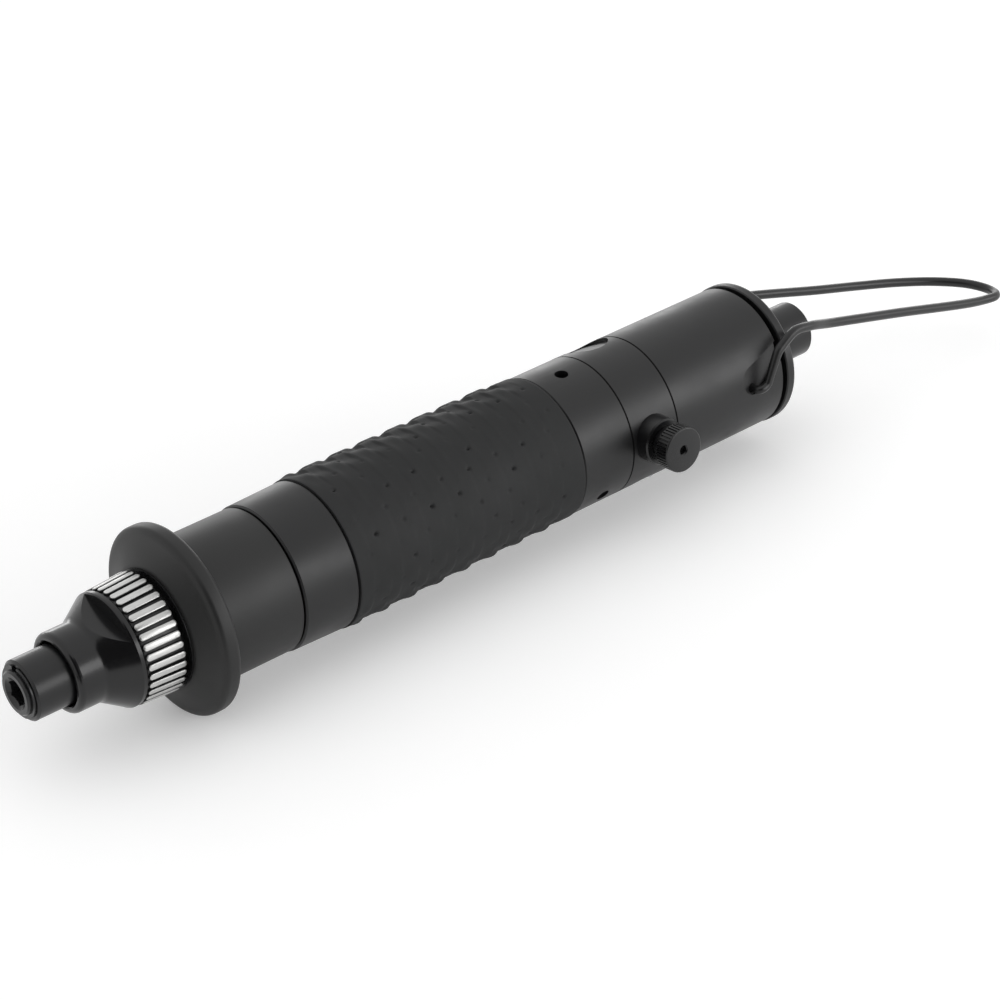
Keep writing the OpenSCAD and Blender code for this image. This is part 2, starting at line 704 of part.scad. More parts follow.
module input_planet_1() color(steel) planet(input_planet_x, 0);
module input_planet_2() color(steel) planet(input_planet_x, 1);
module input_planet_3() color(steel) planet(input_planet_x, 2);

// One long ring with teeth inside serves both stages
module ring_gear() color(steel) difference() {
    rod(ring_gear_x, ring_gear_end, ring_gear_r);
    translate([ring_gear_end + 1, 0, 0]) rotate([0, -90, 0])
        linear_extrude(ring_gear_end - ring_gear_x + 2)
        polygon(gear_outline(ring_z, ring_r + 1.1 * gear_m, ring_r - 0.85 * gear_m, -2 * backlash));
}

module gear_case() color(satin)
    turned([[output_bearing_x - 0.6, output_bearing_r - 2.5],
        [output_bearing_x - 0.6, case_bore_r - seat], [x_gear, case_bore_r - seat],
        [x_gear, body_r - 0.5], [x_gear + 0.4, body_r], [x_grip - 0.4, body_r + 0.4],
        [x_grip, body_r + 0.1], [x_grip, gear_spigot_r],
        [x_grip + gear_spigot_len, gear_spigot_r], [x_grip + gear_spigot_len, gear_bore_r],
        [output_planet_x - 0.4, gear_bore_r], [output_planet_x - 0.4, disc_r + 0.7],
        [output_bearing_x + output_bearing_len, disc_r + 0.7],
        [output_bearing_x + output_bearing_len, output_bearing_r],
        [output_bearing_x, output_bearing_r], [output_bearing_x, output_bearing_r - 2.5]]);

module front_bearing() color(steel)
    bearing(front_bearing_x, front_bearing_x + front_bearing_len, front_bearing_r - seat,
        front_journal_r + run);

module front_plate() color(steel) difference() {
    turned([[front_bearing_x, front_bearing_r], [front_bearing_x, front_bearing_r + 2],
        [front_plate_x, front_bearing_r + 2], [front_plate_x, plate_r],
        [cylinder_x, plate_r], [cylinder_x, front_journal_r + clear],
        [front_bearing_x + front_bearing_len + 0.1, front_journal_r + clear],
        [front_bearing_x + front_bearing_len + 0.1, front_bearing_r]]);
    translate([0, 0, -cylinder_bore_d / 2 - 1.4]) rod(front_plate_x - 1, cylinder_x + 1, 1.02);
}

// The bore stands off centre, so that the space round the rotor swells to one side
module motor_cylinder() color(steel) difference() {
    rod(cylinder_x, cylinder_x + cylinder_len, cylinder_r);
    translate([0, 0, cylinder_shift]) rod(cylinder_x - 1, rear_plate_x + 1, cylinder_bore_d / 2);
    translate([0, 0, -cylinder_bore_d / 2 - 1.4]) rod(cylinder_x - 1, cylinder_x + 6, 1.02);
    for (side = [-1, 1]) for (i = [0:4])
        translate([cylinder_x + cylinder_len * (i + 1.5) / 7, 0, 0]) rotate([side * 62, 0, 0])
            cylinder(h = body_r, r = 1.6);
}

module cylinder_pin() color(steel) translate([0, 0, -cylinder_bore_d / 2 - 1.4])
    rod(front_plate_x + 0.2, cylinder_x + 5.5, 1);

module rotor() color(steel) difference() {
    union() {
        gear(input_planet_x - 0.1, pinion_end, sun_z);
        rod(pinion_end - 0.1, front_bearing_x - 0.2, sun_r);
        rod(front_bearing_x - 0.3, cylinder_x + 0.3, front_journal_r);
        rod(cylinder_x + 0.2, cylinder_x + 0.2 + rotor_len, rotor_d / 2);
        rod(cylinder_x + rotor_len, rear_bearing_x + rear_bearing_len, rear_journal_r);
    }
    rod(input_planet_x - 1, rear_bearing_x + rear_bearing_len + 1, rod_bore_r);
    around(vane_count) translate([cylinder_x, -vane_t / 2 - 0.08, rotor_d / 2 - vane_slot_depth])
        cube([cylinder_len, vane_t + 0.16, rotor_d]);
}

module rotor_vanes() color(brass)
    around(vane_count) translate([cylinder_x + 0.3, -vane_t / 2, rotor_d / 2 - vane_slot_depth + 0.1])
        cube([rotor_len - 0.2, vane_t, vane_r - rotor_d / 2 + vane_slot_depth - 0.1]);

// Two drilled air passages along the axis, to either side of one direction
module air_ways(x0, x1, middle, rho, r) for (s = [-1, 1])
    rotate([middle + s * 25, 0, 0]) translate([0, 0, rho]) rod(x0, x1, r);

module rear_plate() color(steel) difference() {
    union() {
        rod(rear_plate_x, rear_plate_x + rear_plate_t, plate_r);
        rod(rear_plate_x, rear_plate_x + rear_plate_t + rear_collar_len, rear_collar_r);
    }
    rod(rear_plate_x - 1, rear_plate_x + 10, rear_journal_r + clear);
    rod(rear_bearing_x - 0.1, rear_plate_x + 10, rear_bearing_r);
    air_ways(rear_plate_x - 1, rear_plate_x + rear_plate_t + 1, 90, supply_rho, supply_r);
    air_ways(rear_plate_x - 1, rear_plate_x + rear_plate_t + 1, 270, exhaust_rho, exhaust_r);
}

module rear_bearing() color(steel)
    bearing(rear_bearing_x, rear_bearing_x + rear_bearing_len, rear_bearing_r - seat,
        rear_journal_r + run);

module motor_housing() color(satin) difference() {
    turned([[x_grip + 0.05, gear_spigot_r + seat], [x_grip + 0.05, tube_r], [x_sleeve_rear, tube_r],
        [x_sleeve_rear, body_r - 0.3], [x_sleeve_rear + 0.3, body_r], [x_valve - 0.25, body_r],
        [x_valve - 0.02, body_r - 0.25], [x_valve - 0.02, bore_r],
        [x_grip + gear_spigot_len + 0.05, bore_r],
        [x_grip + gear_spigot_len + 0.05, gear_spigot_r + seat]]);
    for (a = exhaust_angles) facing(exhaust_x, a) cylinder(h = body_d, r = exhaust_hole_d / 2);
}

// Raised scales stand steep towards the nose and sink into the grip towards the rear
module grip_scale(x, r) translate([x, 0, r]) rotate([0, 5, 0]) translate([0, 0, -1])
    cylinder(h = 1.2, r = scale_d / 2);

module rubber_grip() color(black) difference() {
    union() {
        turned([[x_grip + 0.1, tube_r], [x_grip + 0.1, grip_front_r - 0.3],
            [x_grip + 0.4, grip_front_r], [x_sleeve_rear - 1.2, grip_rear_r],
            [x_sleeve_rear - 0.1, grip_rear_r - 0.6], [x_sleeve_rear - 0.1, tube_r]]);
        for (row = [0:scale_rows - 1]) {
            t = (row + 0.9) * scale_pitch / grip_len;
            around(scale_count, (row % 2) * 180 / scale_count)
                grip_scale(x_grip + t * grip_len, lerp(grip_front_r, grip_rear_r, t));
        }
    }
    rod(x_grip - 1, x_sleeve_rear + 1, tube_r + seat);
}

module push_rod() color(steel)
    rod(tail_end + 0.05, inlet_x - 0.05, rod_d / 2);

module valve_body() color(satin) difference() {
    turned([[valve_front_x, 0], [valve_front_x, plate_r], [exhaust_x - 4, plate_r],
        [exhaust_x - 4, groove_r], [exhaust_x + 4, groove_r], [exhaust_x + 4, plate_r],
        [x_valve, plate_r], [x_valve, body_r - 0.25], [x_valve + 0.25, body_r],
        [x_rear - 0.25, body_r], [x_rear, body_r - 0.25], [x_rear, plate_r],
        [valve_end, plate_r], [valve_end, 0]]);
    for (x = [x_valve - 2.2, x_rear + 4]) tube(x - 0.9, x + 0.9, plate_r + 1, bore_r - 2 * seal_r - 0.05);
    rod(valve_front_x - 1, valve_end + 1, rod_bore_r);
    rod(valve_front_x - 1, valve_front_x + rear_collar_len + 0.1, rear_collar_r + 0.1);
    rod(seat_x - 1.5, seat_x + 1, seat_r - 0.8);
    rod(seat_x, valve_end + 1, seat_r);
    rod(inlet_x, valve_end + 1, inlet_r + seat);
    facing(knob_axis_x, 0) translate([0, 0, spool_in - 0.2]) cylinder(h = body_r, r = spool_bore_r);
    facing(knob_axis_x, 0) translate([0, 0, gland_seat]) cylinder(h = body_r, r = gland_d / 2 + seat);
    air_ways(valve_front_x - 1, knob_axis_x, 90, supply_rho, supply_r);
    air_ways(valve_front_x - 1, exhaust_x, 270, exhaust_rho, exhaust_r);
    translate([0, -4.2, 0]) rod(knob_axis_x, seat_x, 1.4);
    translate([knob_axis_x + valve_pin_out, -pin_rho, -body_r])
        cylinder(h = body_r + valve_pin_z + valve_pin_len + 0.1, r = valve_pin_r + 0.02);
    for (a = spot_angles) facing(x_valve + valve_len / 2 + 1, a) translate([0, 0, body_r - spot_depth])
        cylinder(h = 5, r = spot_d / 2);
}

module seal_rings() color(black) for (x = [x_valve - 2.2, x_rear + 4])
    translate([x, 0, 0]) rotate([0, 90, 0]) rotate_extrude()
        translate([bore_r - seal_r - 0.02, 0]) circle(r = seal_r - 0.02, $fn = 24);

// The reversing spool: ported body, retaining groove and the stem that carries the knob
module reverse_valve() color(steel) facing(knob_axis_x, 0) difference() {
    rotate_extrude() polygon([[0, spool_in], [spool_r - 0.3, spool_in], [spool_r, spool_in + 0.3],
        [spool_r, pin_rho - valve_pin_r - 0.1],
        [valve_pin_out - valve_pin_r - 0.1, pin_rho - valve_pin_r - 0.1],
        [valve_pin_out - valve_pin_r - 0.1, pin_rho + valve_pin_r + 0.1],
        [spool_r, pin_rho + valve_pin_r + 0.1], [spool_r, gland_in - 0.2],
        [stem_r, gland_in - 0.2], [stem_r, knob_top - 1.4], [0, knob_top - 1.4]]);
    translate([0, 0, gland_top - 1]) cylinder(h = 10, r = 1.24);
    translate([0, 0, 6.2]) rotate([0, 90, 0]) cylinder(h = 3 * spool_r, r = 1.5, center = true);
}

// Pressed in from below, it runs in the spool's groove and keeps the spool in
module valve_pin() color(steel) translate([knob_axis_x + valve_pin_out, -pin_rho, valve_pin_z])
    cylinder(h = valve_pin_len, r = valve_pin_r);

module knob_gland() color(satin) facing(knob_axis_x, 0) rotate_extrude() polygon([
    [stem_r + run, gland_in], [spool_bore_r - seat, gland_in],
    [spool_bore_r - seat, gland_seat + 0.02], [gland_d / 2, gland_seat + 0.02],
    [gland_d / 2, gland_top - 0.4], [gland_d / 2 - 0.4, gland_top], [stem_r + run, gland_top]]);

module reverse_knob() color(satin) facing(knob_axis_x, 0) difference() {
    rotate_extrude() polygon([[0, gland_top + 0.15], [knob_r - 1.9, gland_top + 0.15],
        [knob_r - 1.9, knob_top - knob_t], [knob_r - 0.4, knob_top - knob_t],
        [knob_r, knob_top - knob_t + 0.4], [knob_r, knob_top - 0.5],
        [knob_r - 0.5, knob_top], [0, knob_top]]);
    cylinder(h = knob_top - 1.3, r = stem_r + 0.02);
    cylinder(h = knob_top + 1, r = 1.15);
    for (i = [0:knob_rib_count - 1]) rotate([0, 0, i * 360 / knob_rib_count])
        translate([knob_r + 0.1, 0, knob_top - knob_t - 1]) rotate([0, 0, 45])
            cube([0.55, 0.55, 2 * knob_t + 2], center = true);
}

module knob_screw() color(steel) facing(knob_axis_x, 0) difference() {
    translate([0, 0, gland_top - 0.9]) cylinder(h = knob_top - gland_top - 0.6, r = 1.12);
    translate([0, 0, knob_top - 2.6]) cylinder(h = 2, r = 0.75, $fn = 6);
}

module throttle_seat() color(brass)
    turned([[seat_x + 0.05, rod_bore_r + 1.1], [seat_x + 0.05, seat_r - seat],
        [inlet_x - 0.05, seat_r - seat], [inlet_x - 0.05, rod_bore_r + 1.9],
        [inlet_x - 0.9, rod_bore_r + 1.1]]);

module throttle_valve() color(steel)
    turned([[inlet_x, 0], [inlet_x, poppet_r - 0.8], [inlet_x + 0.7, poppet_r],
        [inlet_x + poppet_t, poppet_r], [inlet_x + poppet_t, guide_r],
        [web_x + web_t + 1, guide_r], [web_x + web_t + 1.6, guide_r - 0.5],
        [web_x + web_t + 1.6, 0]]);

module throttle_spring() color(steel)
    swept(coil(inlet_x + poppet_t + 0.05, web_x - 0.05, 3.3, throttle_wire / 2, 7, 14),
        throttle_wire / 2, 6, [1, 0, 0]);

// Outline of the bail pocket, seen square to its floor: two circles and their tangents
module pocket_cut() {
    big = 4.1;
    small = 2.2;
    reach = pivot_back + 1.5;
    rise = 5.8;
    dist = norm([reach, rise]);
    lean = asin((big - small) / dist);
    turn = atan2(rise, reach);
    cylinder(h = body_r, r = big);
    translate([reach, rise, 0]) cylinder(h = body_r, r = small);
    rotate([0, 0, turn]) linear_extrude(body_r) polygon([
        [big * sin(lean), big * cos(lean)], [dist + small * sin(lean), small * cos(lean)],
        [dist + small * sin(lean), -small * cos(lean)], [big * sin(lean), -big * cos(lean)]]);
}

module rear_housing() color(satin) difference() {
    turned([[x_rear + 0.02, bore_r], [x_rear + 0.02, body_r - 0.25], [x_rear + 0.27, body_r],
        [x_gap - 0.3, body_r], [x_gap, body_r - 0.3], [x_gap, bore_r]]);
    translate([pivot_x, 0, 0]) rotate([90, 0, 0])
        cylinder(h = 3 * body_r, r = pivot_hole_r, center = true);
    for (side = [0, 1]) mirror([0, side, 0]) rotate([-pocket_lean, 0, 0])
        translate([pivot_x, pocket_depth - body_r, -2.1]) rotate([90, 0, 0]) pocket_cut();
}

module silencer_felt() color([0.5, 0.5, 0.48])
    tube(valve_end + 0.3, x_gap - 4, bore_r - 0.1, inlet_r + 0.1);

module end_cap() color(satin) difference() {
    turned(concat([[x_gap - 3.8, bore_r - 2.6], [x_gap - 3.8, bore_r - 0.05], [x_cap, bore_r - 0.05],
        [x_cap, body_r], [x_cap + 0.3, body_r + 0.3]],
        arc([x_cap_end - 1, body_r - 0.7], 1, 90, 0, 4),
        [[x_cap_end, inlet_r + seat], [x_cap, inlet_r + seat], [x_cap, bore_r - 2.6]]));
    around(8) translate([x_gap - 5, -3, bore_r - 4]) cube([x_cap - x_gap + 5, 6, 6]);
}

module inlet_bush() color(satin) difference() {
    turned([[inlet_x + 0.05, 0], [inlet_x + 0.05, inlet_r], [x_end - 0.6, inlet_r],
        [x_end, inlet_r - 0.6], [x_end, 0]]);
    rod(inlet_x - 1, web_x, inlet_r - inlet_wall);
    rod(web_x - 1, web_x + web_t + 1, guide_r + 0.9);
    rod(web_x + web_t, x_end - 1, inlet_bore_d / 2 - 0.5);
    rod(thread_x - screen_t - 0.1, x_end - 1, screen_r + 0.05);
    rod(thread_x, x_end + 1, inlet_bore_d / 2);
    cone(x_end - 0.7, x_end + fine, inlet_bore_d / 2, inlet_bore_d / 2 + 0.7);
}

module inlet_screen() color(brass) difference() {
    rod(thread_x - screen_t - 0.05, thread_x - 0.05, screen_r);
    for (ring = [1:3]) around(ring * 6) translate([0, 0, ring * 1.5])
        rod(thread_x - 2, thread_x + 1, 0.45);
}

// A corner of the route replaced by a round bend of about radius r
function corner(p) = [p[0], p[1], p[2]];
function bend(p, i) = let (c = corner(p[i]), before = corner(p[i - 1]) - c,
        after = corner(p[i + 1]) - c, a = unit(before), b = unit(after),
        half = acos(max(-0.999, min(0.999, a * b))) / 2,
        cut = min(p[i][3] / tan(half), 0.48 * norm(before), 0.48 * norm(after)),
        n = half > 80 ? 2 : half > 60 ? 4 : 6)
    [for (k = [0:n]) let (t = k / n)
        lerp(lerp(c + a * cut, c, t), lerp(c, c + b * cut, t), t)];

module bail() color(black) {
    last = len(bail_route) - 1;
    path = concat([corner(bail_route[0])],
        [for (i = [1:last - 1]) each bend(bail_route, i)], [corner(bail_route[last])]);
    translate([pivot_x, 0, 0]) {
        swept(path, wire_r, 10, [0, 0, 1]);
        for (side = [-1, 1]) translate([0, side * (leg_out - 1.8), 0]) rotate([side * 90, 0, 0])
            cylinder(h = leg_out - 1.8 - bore_r - 0.3, r = wire_r + 0.03);
    }
}

echo(least_coil_gap = min(
    coil_gap(land_end + 0.05, collar_x - 0.05, chuck_wire / 2, 4),
    coil_gap(adjuster_x + adjuster_t, washer_x, clutch_wire / 2, 5),
    coil_gap(inlet_x + poppet_t, web_x, throttle_wire / 2, 7)));

bit_holder();
chuck_sleeve();
chuck_spring();
locking_balls();
sleeve_snap_ring();
spindle_snap_ring();
nose_piece();
nose_bush();
knurled_ring();
clutch_adjuster();
clutch_spring();
thrust_washer();
thrust_balls();
driven_cam();
clutch_balls();
drive_cam();
clutch_case();
hand_guard();
output_bearing();
output_carrier();
output_pins();
output_planet_1();
output_planet_2();
output_planet_3();
input_carrier();
input_pins();
input_planet_1();
input_planet_2();
input_planet_3();
ring_gear();
gear_case();
front_bearing();
front_plate();
motor_cylinder();
cylinder_pin();
rotor();
rotor_vanes();
rear_plate();
rear_bearing();
motor_housing();
rubber_grip();
push_rod();
valve_body();
seal_rings();
reverse_valve();
valve_pin();
knob_gland();
reverse_knob();
knob_screw();
throttle_seat();
throttle_valve();
throttle_spring();
rear_housing();
silencer_felt();
end_cap();
inlet_bush();
inlet_screen();
bail();
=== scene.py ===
import bmesh
import bpy
import json
import math
from mathutils import Matrix, Vector

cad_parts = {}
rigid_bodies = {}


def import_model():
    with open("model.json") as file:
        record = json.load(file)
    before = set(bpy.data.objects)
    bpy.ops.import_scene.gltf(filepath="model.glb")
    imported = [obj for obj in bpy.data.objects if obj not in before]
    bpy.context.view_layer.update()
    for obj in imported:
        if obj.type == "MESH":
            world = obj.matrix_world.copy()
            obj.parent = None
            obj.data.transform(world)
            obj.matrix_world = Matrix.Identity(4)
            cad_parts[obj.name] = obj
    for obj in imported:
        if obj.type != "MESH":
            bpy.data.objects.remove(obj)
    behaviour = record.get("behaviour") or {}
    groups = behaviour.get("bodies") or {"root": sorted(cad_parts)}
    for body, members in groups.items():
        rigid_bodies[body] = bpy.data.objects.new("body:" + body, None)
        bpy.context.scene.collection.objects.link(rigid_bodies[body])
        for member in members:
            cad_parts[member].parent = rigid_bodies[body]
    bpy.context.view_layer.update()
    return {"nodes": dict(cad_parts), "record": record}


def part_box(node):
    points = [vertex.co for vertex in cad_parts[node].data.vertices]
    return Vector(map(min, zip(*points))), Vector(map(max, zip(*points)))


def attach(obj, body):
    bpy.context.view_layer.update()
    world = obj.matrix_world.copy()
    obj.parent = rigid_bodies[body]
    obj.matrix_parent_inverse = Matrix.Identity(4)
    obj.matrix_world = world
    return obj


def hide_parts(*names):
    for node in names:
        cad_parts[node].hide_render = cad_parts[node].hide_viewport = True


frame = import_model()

mm = 0.001


# sRGB hex to the linear colour that a socket wants
def linear(hexText):
    channels = [int(hexText[i:i + 2], 16) / 255 for i in (0, 2, 4)]
    return [c / 12.92 if c <= 0.04045 else ((c + 0.055) / 1.055) ** 2.4 for c in channels] + [1.0]


# adds a node with its settings; an input is a number, a colour or another node's output
def addNode(tree, kind, inputs=None, **settings):
    node = tree.nodes.new(kind)
    for name, value in settings.items():
        setattr(node, name, value)
    for socket, value in (inputs or {}).items():
        if isinstance(value, bpy.types.NodeSocket):
            tree.links.new(value, node.inputs[socket])
        else:
            node.inputs[socket].default_value = value
    return node


def newMaterial(name, constants):
    material = bpy.data.materials.new(name)
    material.use_nodes = True
    shader = material.node_tree.nodes["Principled BSDF"]
    for socket, value in constants.items():
        shader.inputs[socket].default_value = value
    return material, material.node_tree, shader


# how often a pattern of this many millimetres fits into a metre
def perMetre(size):
    return 1 / (size * mm)


# the scale that gives a wave texture one line in this many millimetres
def waveScale(pitch):
    return math.pi / 10 * perMetre(pitch)


noiseSpread = {"From Min": 0.3, "From Max": 0.7}    # most of a noise's values lie between these

# Below, sizes and depths are in mm, and shinier and duller multiply the finish's own roughness.
# Turned rings and moulded grit are drawn about twice as coarse as real ones, so that they show.
turnedBlack = {"smudge": 14, "speck": 0.5, "speckDepth": 0.004, "shinier": 0.85, "duller": 1.2}


# black oxide or anodised metal that was turned on a lathe: fine rings, faint smudges
def blackMetal(name, colour, gloss, ringPitch=0.25, ringDepth=0.002):
    material, tree, shader = newMaterial(name, {"IOR": 1.45})
    space = addNode(tree, "ShaderNodeTexCoord").outputs["Object"]
    smudge = addNode(tree, "ShaderNodeTexNoise", {
        "Vector": space, "Scale": perMetre(turnedBlack["smudge"]), "Detail": 4.0})
    speck = addNode(tree, "ShaderNodeTexNoise", {
        "Vector": space, "Scale": perMetre(turnedBlack["speck"]), "Detail": 2.0})
    rough = addNode(tree, "ShaderNodeMapRange", {
        "Value": smudge.outputs["Fac"], **noiseSpread,
        "To Min": gloss * turnedBlack["shinier"], "To Max": gloss * turnedBlack["duller"]})
    tint = addNode(tree, "ShaderNodeMix", {
        "Factor": smudge.outputs["Fac"], "A": linear(colour[0]), "B": linear(colour[1])},
        data_type="RGBA")
    rings = addNode(tree, "ShaderNodeTexWave", {
        "Vector": space, "Scale": waveScale(ringPitch), "Distortion": 0.6, "Detail": 2.0},
        bands_direction="X")
    grain = addNode(tree, "ShaderNodeBump", {
        "Height": speck.outputs["Fac"], "Strength": 1.0,
        "Distance": turnedBlack["speckDepth"] * mm})
    turned = addNode(tree, "ShaderNodeBump", {
        "Height": rings.outputs["Fac"], "Distance": ringDepth * mm, "Strength": 1.0,
        "Normal": grain.outputs["Normal"]})
    tree.links.new(tint.outputs["Result"], shader.inputs["Base Color"])
    tree.links.new(rough.outputs["Result"], shader.inputs["Roughness"])
    tree.links.new(turned.outputs["Normal"], shader.inputs["Normal"])
    return material


rubberSkin = {"cloud": 18, "shinier": 0.93, "duller": 1.05}


# moulded rubber: dull, with the fine grit of an eroded mould
def mouldedRubber(name, colour, dullness, grit, gritDepth, shine):
    material, tree, shader = newMaterial(name, {"IOR": 1.5, "Specular IOR Level": shine})
    space = addNode(tree, "ShaderNodeTexCoord").outputs["Object"]
    cloud = addNode(tree, "ShaderNodeTexNoise", {
        "Vector": space, "Scale": perMetre(rubberSkin["cloud"]), "Detail": 4.0})
    pores = addNode(tree, "ShaderNodeTexNoise", {
        "Vector": space, "Scale": perMetre(grit), "Detail": 3.0, "Roughness": 0.6})
    tint = addNode(tree, "ShaderNodeMix", {
        "Factor": cloud.outputs["Fac"], "A": linear(colour[0]), "B": linear(colour[1])},
        data_type="RGBA")
    rough = addNode(tree, "ShaderNodeMapRange", {
        "Value": cloud.outputs["Fac"], **noiseSpread,
        "To Min": dullness * rubberSkin["shinier"], "To Max": dullness * rubberSkin["duller"]})
    skin = addNode(tree, "ShaderNodeBump", {
        "Height": pores.outputs["Fac"], "Distance": gritDepth * mm, "Strength": 1.0})
    tree.links.new(tint.outputs["Result"], shader.inputs["Base Color"])
    tree.links.new(rough.outputs["Result"], shader.inputs["Roughness"])
    tree.links.new(skin.outputs["Normal"], shader.inputs["Normal"])
    return material


cutMetal = {"cloud": 6, "markDepth": 0.003, "shinier": 0.8, "duller": 1.25}


# bare machined metal: steel, bronze or brass with tool marks along the tool
def machinedMetal(name, colour, dullness, markPitch):
    material, tree, shader = newMaterial(name, {"Metallic": 1.0})
    space = addNode(tree, "ShaderNodeTexCoord").outputs["Object"]
    cloud = addNode(tree, "ShaderNodeTexNoise", {
        "Vector": space, "Scale": perMetre(cutMetal["cloud"]), "Detail": 3.0})
    tint = addNode(tree, "ShaderNodeMix", {
        "Factor": cloud.outputs["Fac"], "A": linear(colour[0]), "B": linear(colour[1])},
        data_type="RGBA")
    rough = addNode(tree, "ShaderNodeMapRange", {
        "Value": cloud.outputs["Fac"], **noiseSpread,
        "To Min": dullness * cutMetal["shinier"], "To Max": dullness * cutMetal["duller"]})
    marks = addNode(tree, "ShaderNodeTexWave", {
        "Vector": space, "Scale": waveScale(markPitch), "Distortion": 1.5, "Detail": 2.0},
        bands_direction="X")
    cut = addNode(tree, "ShaderNodeBump", {
        "Height": marks.outputs["Fac"], "Distance": cutMetal["markDepth"] * mm, "Strength": 1.0})
    tree.links.new(tint.outputs["Result"], shader.inputs["Base Color"])
    tree.links.new(rough.outputs["Result"], shader.inputs["Roughness"])
    tree.links.new(cut.outputs["Normal"], shader.inputs["Normal"])
    return material


wornRibs = {
    "front": 15.55, "rear": 16.2,                 # radius of the rib tops at the ring's ends
    "skin": 0.12, "ragged": 0.08, "fade": 0.07,   # how deep it is bare, and how the edge wanders
    "grit": 0.5, "streak": 0.35, "stretch": 0.12, "scratchDepth": 0.02,
    "scratched": (0.28, 0.5),                     # roughness
}


# the torque ring was blackened first, then its rib tops were ground bare
def ribbedSteel(name, frontX, rearX):
    material, tree, shader = newMaterial(name, {})
    space = addNode(tree, "ShaderNodeTexCoord").outputs["Object"]
    parts = addNode(tree, "ShaderNodeSeparateXYZ", {"Vector": space})
    across = addNode(tree, "ShaderNodeCombineXYZ", {
        "Y": parts.outputs["Y"], "Z": parts.outputs["Z"]})
    radius = addNode(tree, "ShaderNodeVectorMath", {"Vector": across.outputs["Vector"]},
                     operation="LENGTH")
    limit = addNode(tree, "ShaderNodeMapRange", {
        "Value": parts.outputs["X"], "From Min": frontX, "From Max": rearX,
        "To Min": (wornRibs["front"] - wornRibs["skin"]) * mm,
        "To Max": (wornRibs["rear"] - wornRibs["skin"]) * mm})
    ragged = addNode(tree, "ShaderNodeTexNoise", {
        "Vector": space, "Scale": perMetre(wornRibs["grit"]), "Detail": 3.0})
    worn = addNode(tree, "ShaderNodeMath", {
        0: ragged.outputs["Fac"], 1: wornRibs["ragged"] * mm, 2: radius.outputs["Value"]},
        operation="MULTIPLY_ADD")
    over = addNode(tree, "ShaderNodeMath", {
        0: worn.outputs["Value"], 1: limit.outputs["Result"]}, operation="SUBTRACT")
    bare = addNode(tree, "ShaderNodeMapRange", {
        "Value": over.outputs["Value"], "From Min": 0.0, "From Max": wornRibs["fade"] * mm,
        "To Min": 0.0, "To Max": 1.0})
    stretched = addNode(tree, "ShaderNodeMapping", {
        "Vector": space, "Scale": (wornRibs["stretch"], 1.0, 1.0)})
    streak = addNode(tree, "ShaderNodeTexNoise", {
        "Vector": stretched.outputs["Vector"], "Scale": perMetre(wornRibs["streak"]),
        "Detail": 3.0, "Roughness": 0.6})
    silver = addNode(tree, "ShaderNodeMix", {
        "Factor": streak.outputs["Fac"], "A": linear("a9a9a8"), "B": linear("e4e4e2")},
        data_type="RGBA")
    tint = addNode(tree, "ShaderNodeMix", {
        "Factor": bare.outputs["Result"], "A": linear("131314"), "B": silver.outputs["Result"]},
        data_type="RGBA")
    rough = addNode(tree, "ShaderNodeMapRange", {
        "Value": streak.outputs["Fac"], **noiseSpread, "To Min": wornRibs["scratched"][0],
        "To Max": wornRibs["scratched"][1]})
    scratches = addNode(tree, "ShaderNodeBump", {
        "Height": streak.outputs["Fac"], "Strength": 1.0,
        "Distance": wornRibs["scratchDepth"] * mm})
    tree.links.new(tint.outputs["Result"], shader.inputs["Base Color"])
    tree.links.new(bare.outputs["Result"], shader.inputs["Metallic"])
    tree.links.new(rough.outputs["Result"], shader.inputs["Roughness"])
    tree.links.new(scratches.outputs["Normal"], shader.inputs["Normal"])
    return material


silencerFelt = {"fibre": 0.3, "fibreDepth": 0.15}


# pressed felt: a pale mat of crossing fibres
def pressedFelt(name):
    material, tree, shader = newMaterial(name, {"Roughness": 1.0})
    space = addNode(tree, "ShaderNodeTexCoord").outputs["Object"]
    fibre = addNode(tree, "ShaderNodeTexNoise", {
        "Vector": space, "Scale": perMetre(silencerFelt["fibre"]), "Detail": 6.0,
        "Roughness": 0.75})
    tint = addNode(tree, "ShaderNodeMix", {
        "Factor": fibre.outputs["Fac"], "A": linear("6f6c64"), "B": linear("b5b1a6")},
        data_type="RGBA")
    mat = addNode(tree, "ShaderNodeBump", {
        "Height": fibre.outputs["Fac"], "Strength": 1.0,
        "Distance": silencerFelt["fibreDepth"] * mm})
    tree.links.new(tint.outputs["Result"], shader.inputs["Base Color"])
    tree.links.new(mat.outputs["Normal"], shader.inputs["Normal"])
    return material


vaneCloth = {"thread": 0.6, "cloud": 3, "threadDepth": 0.02, "cut": (0.35, 0.55)}


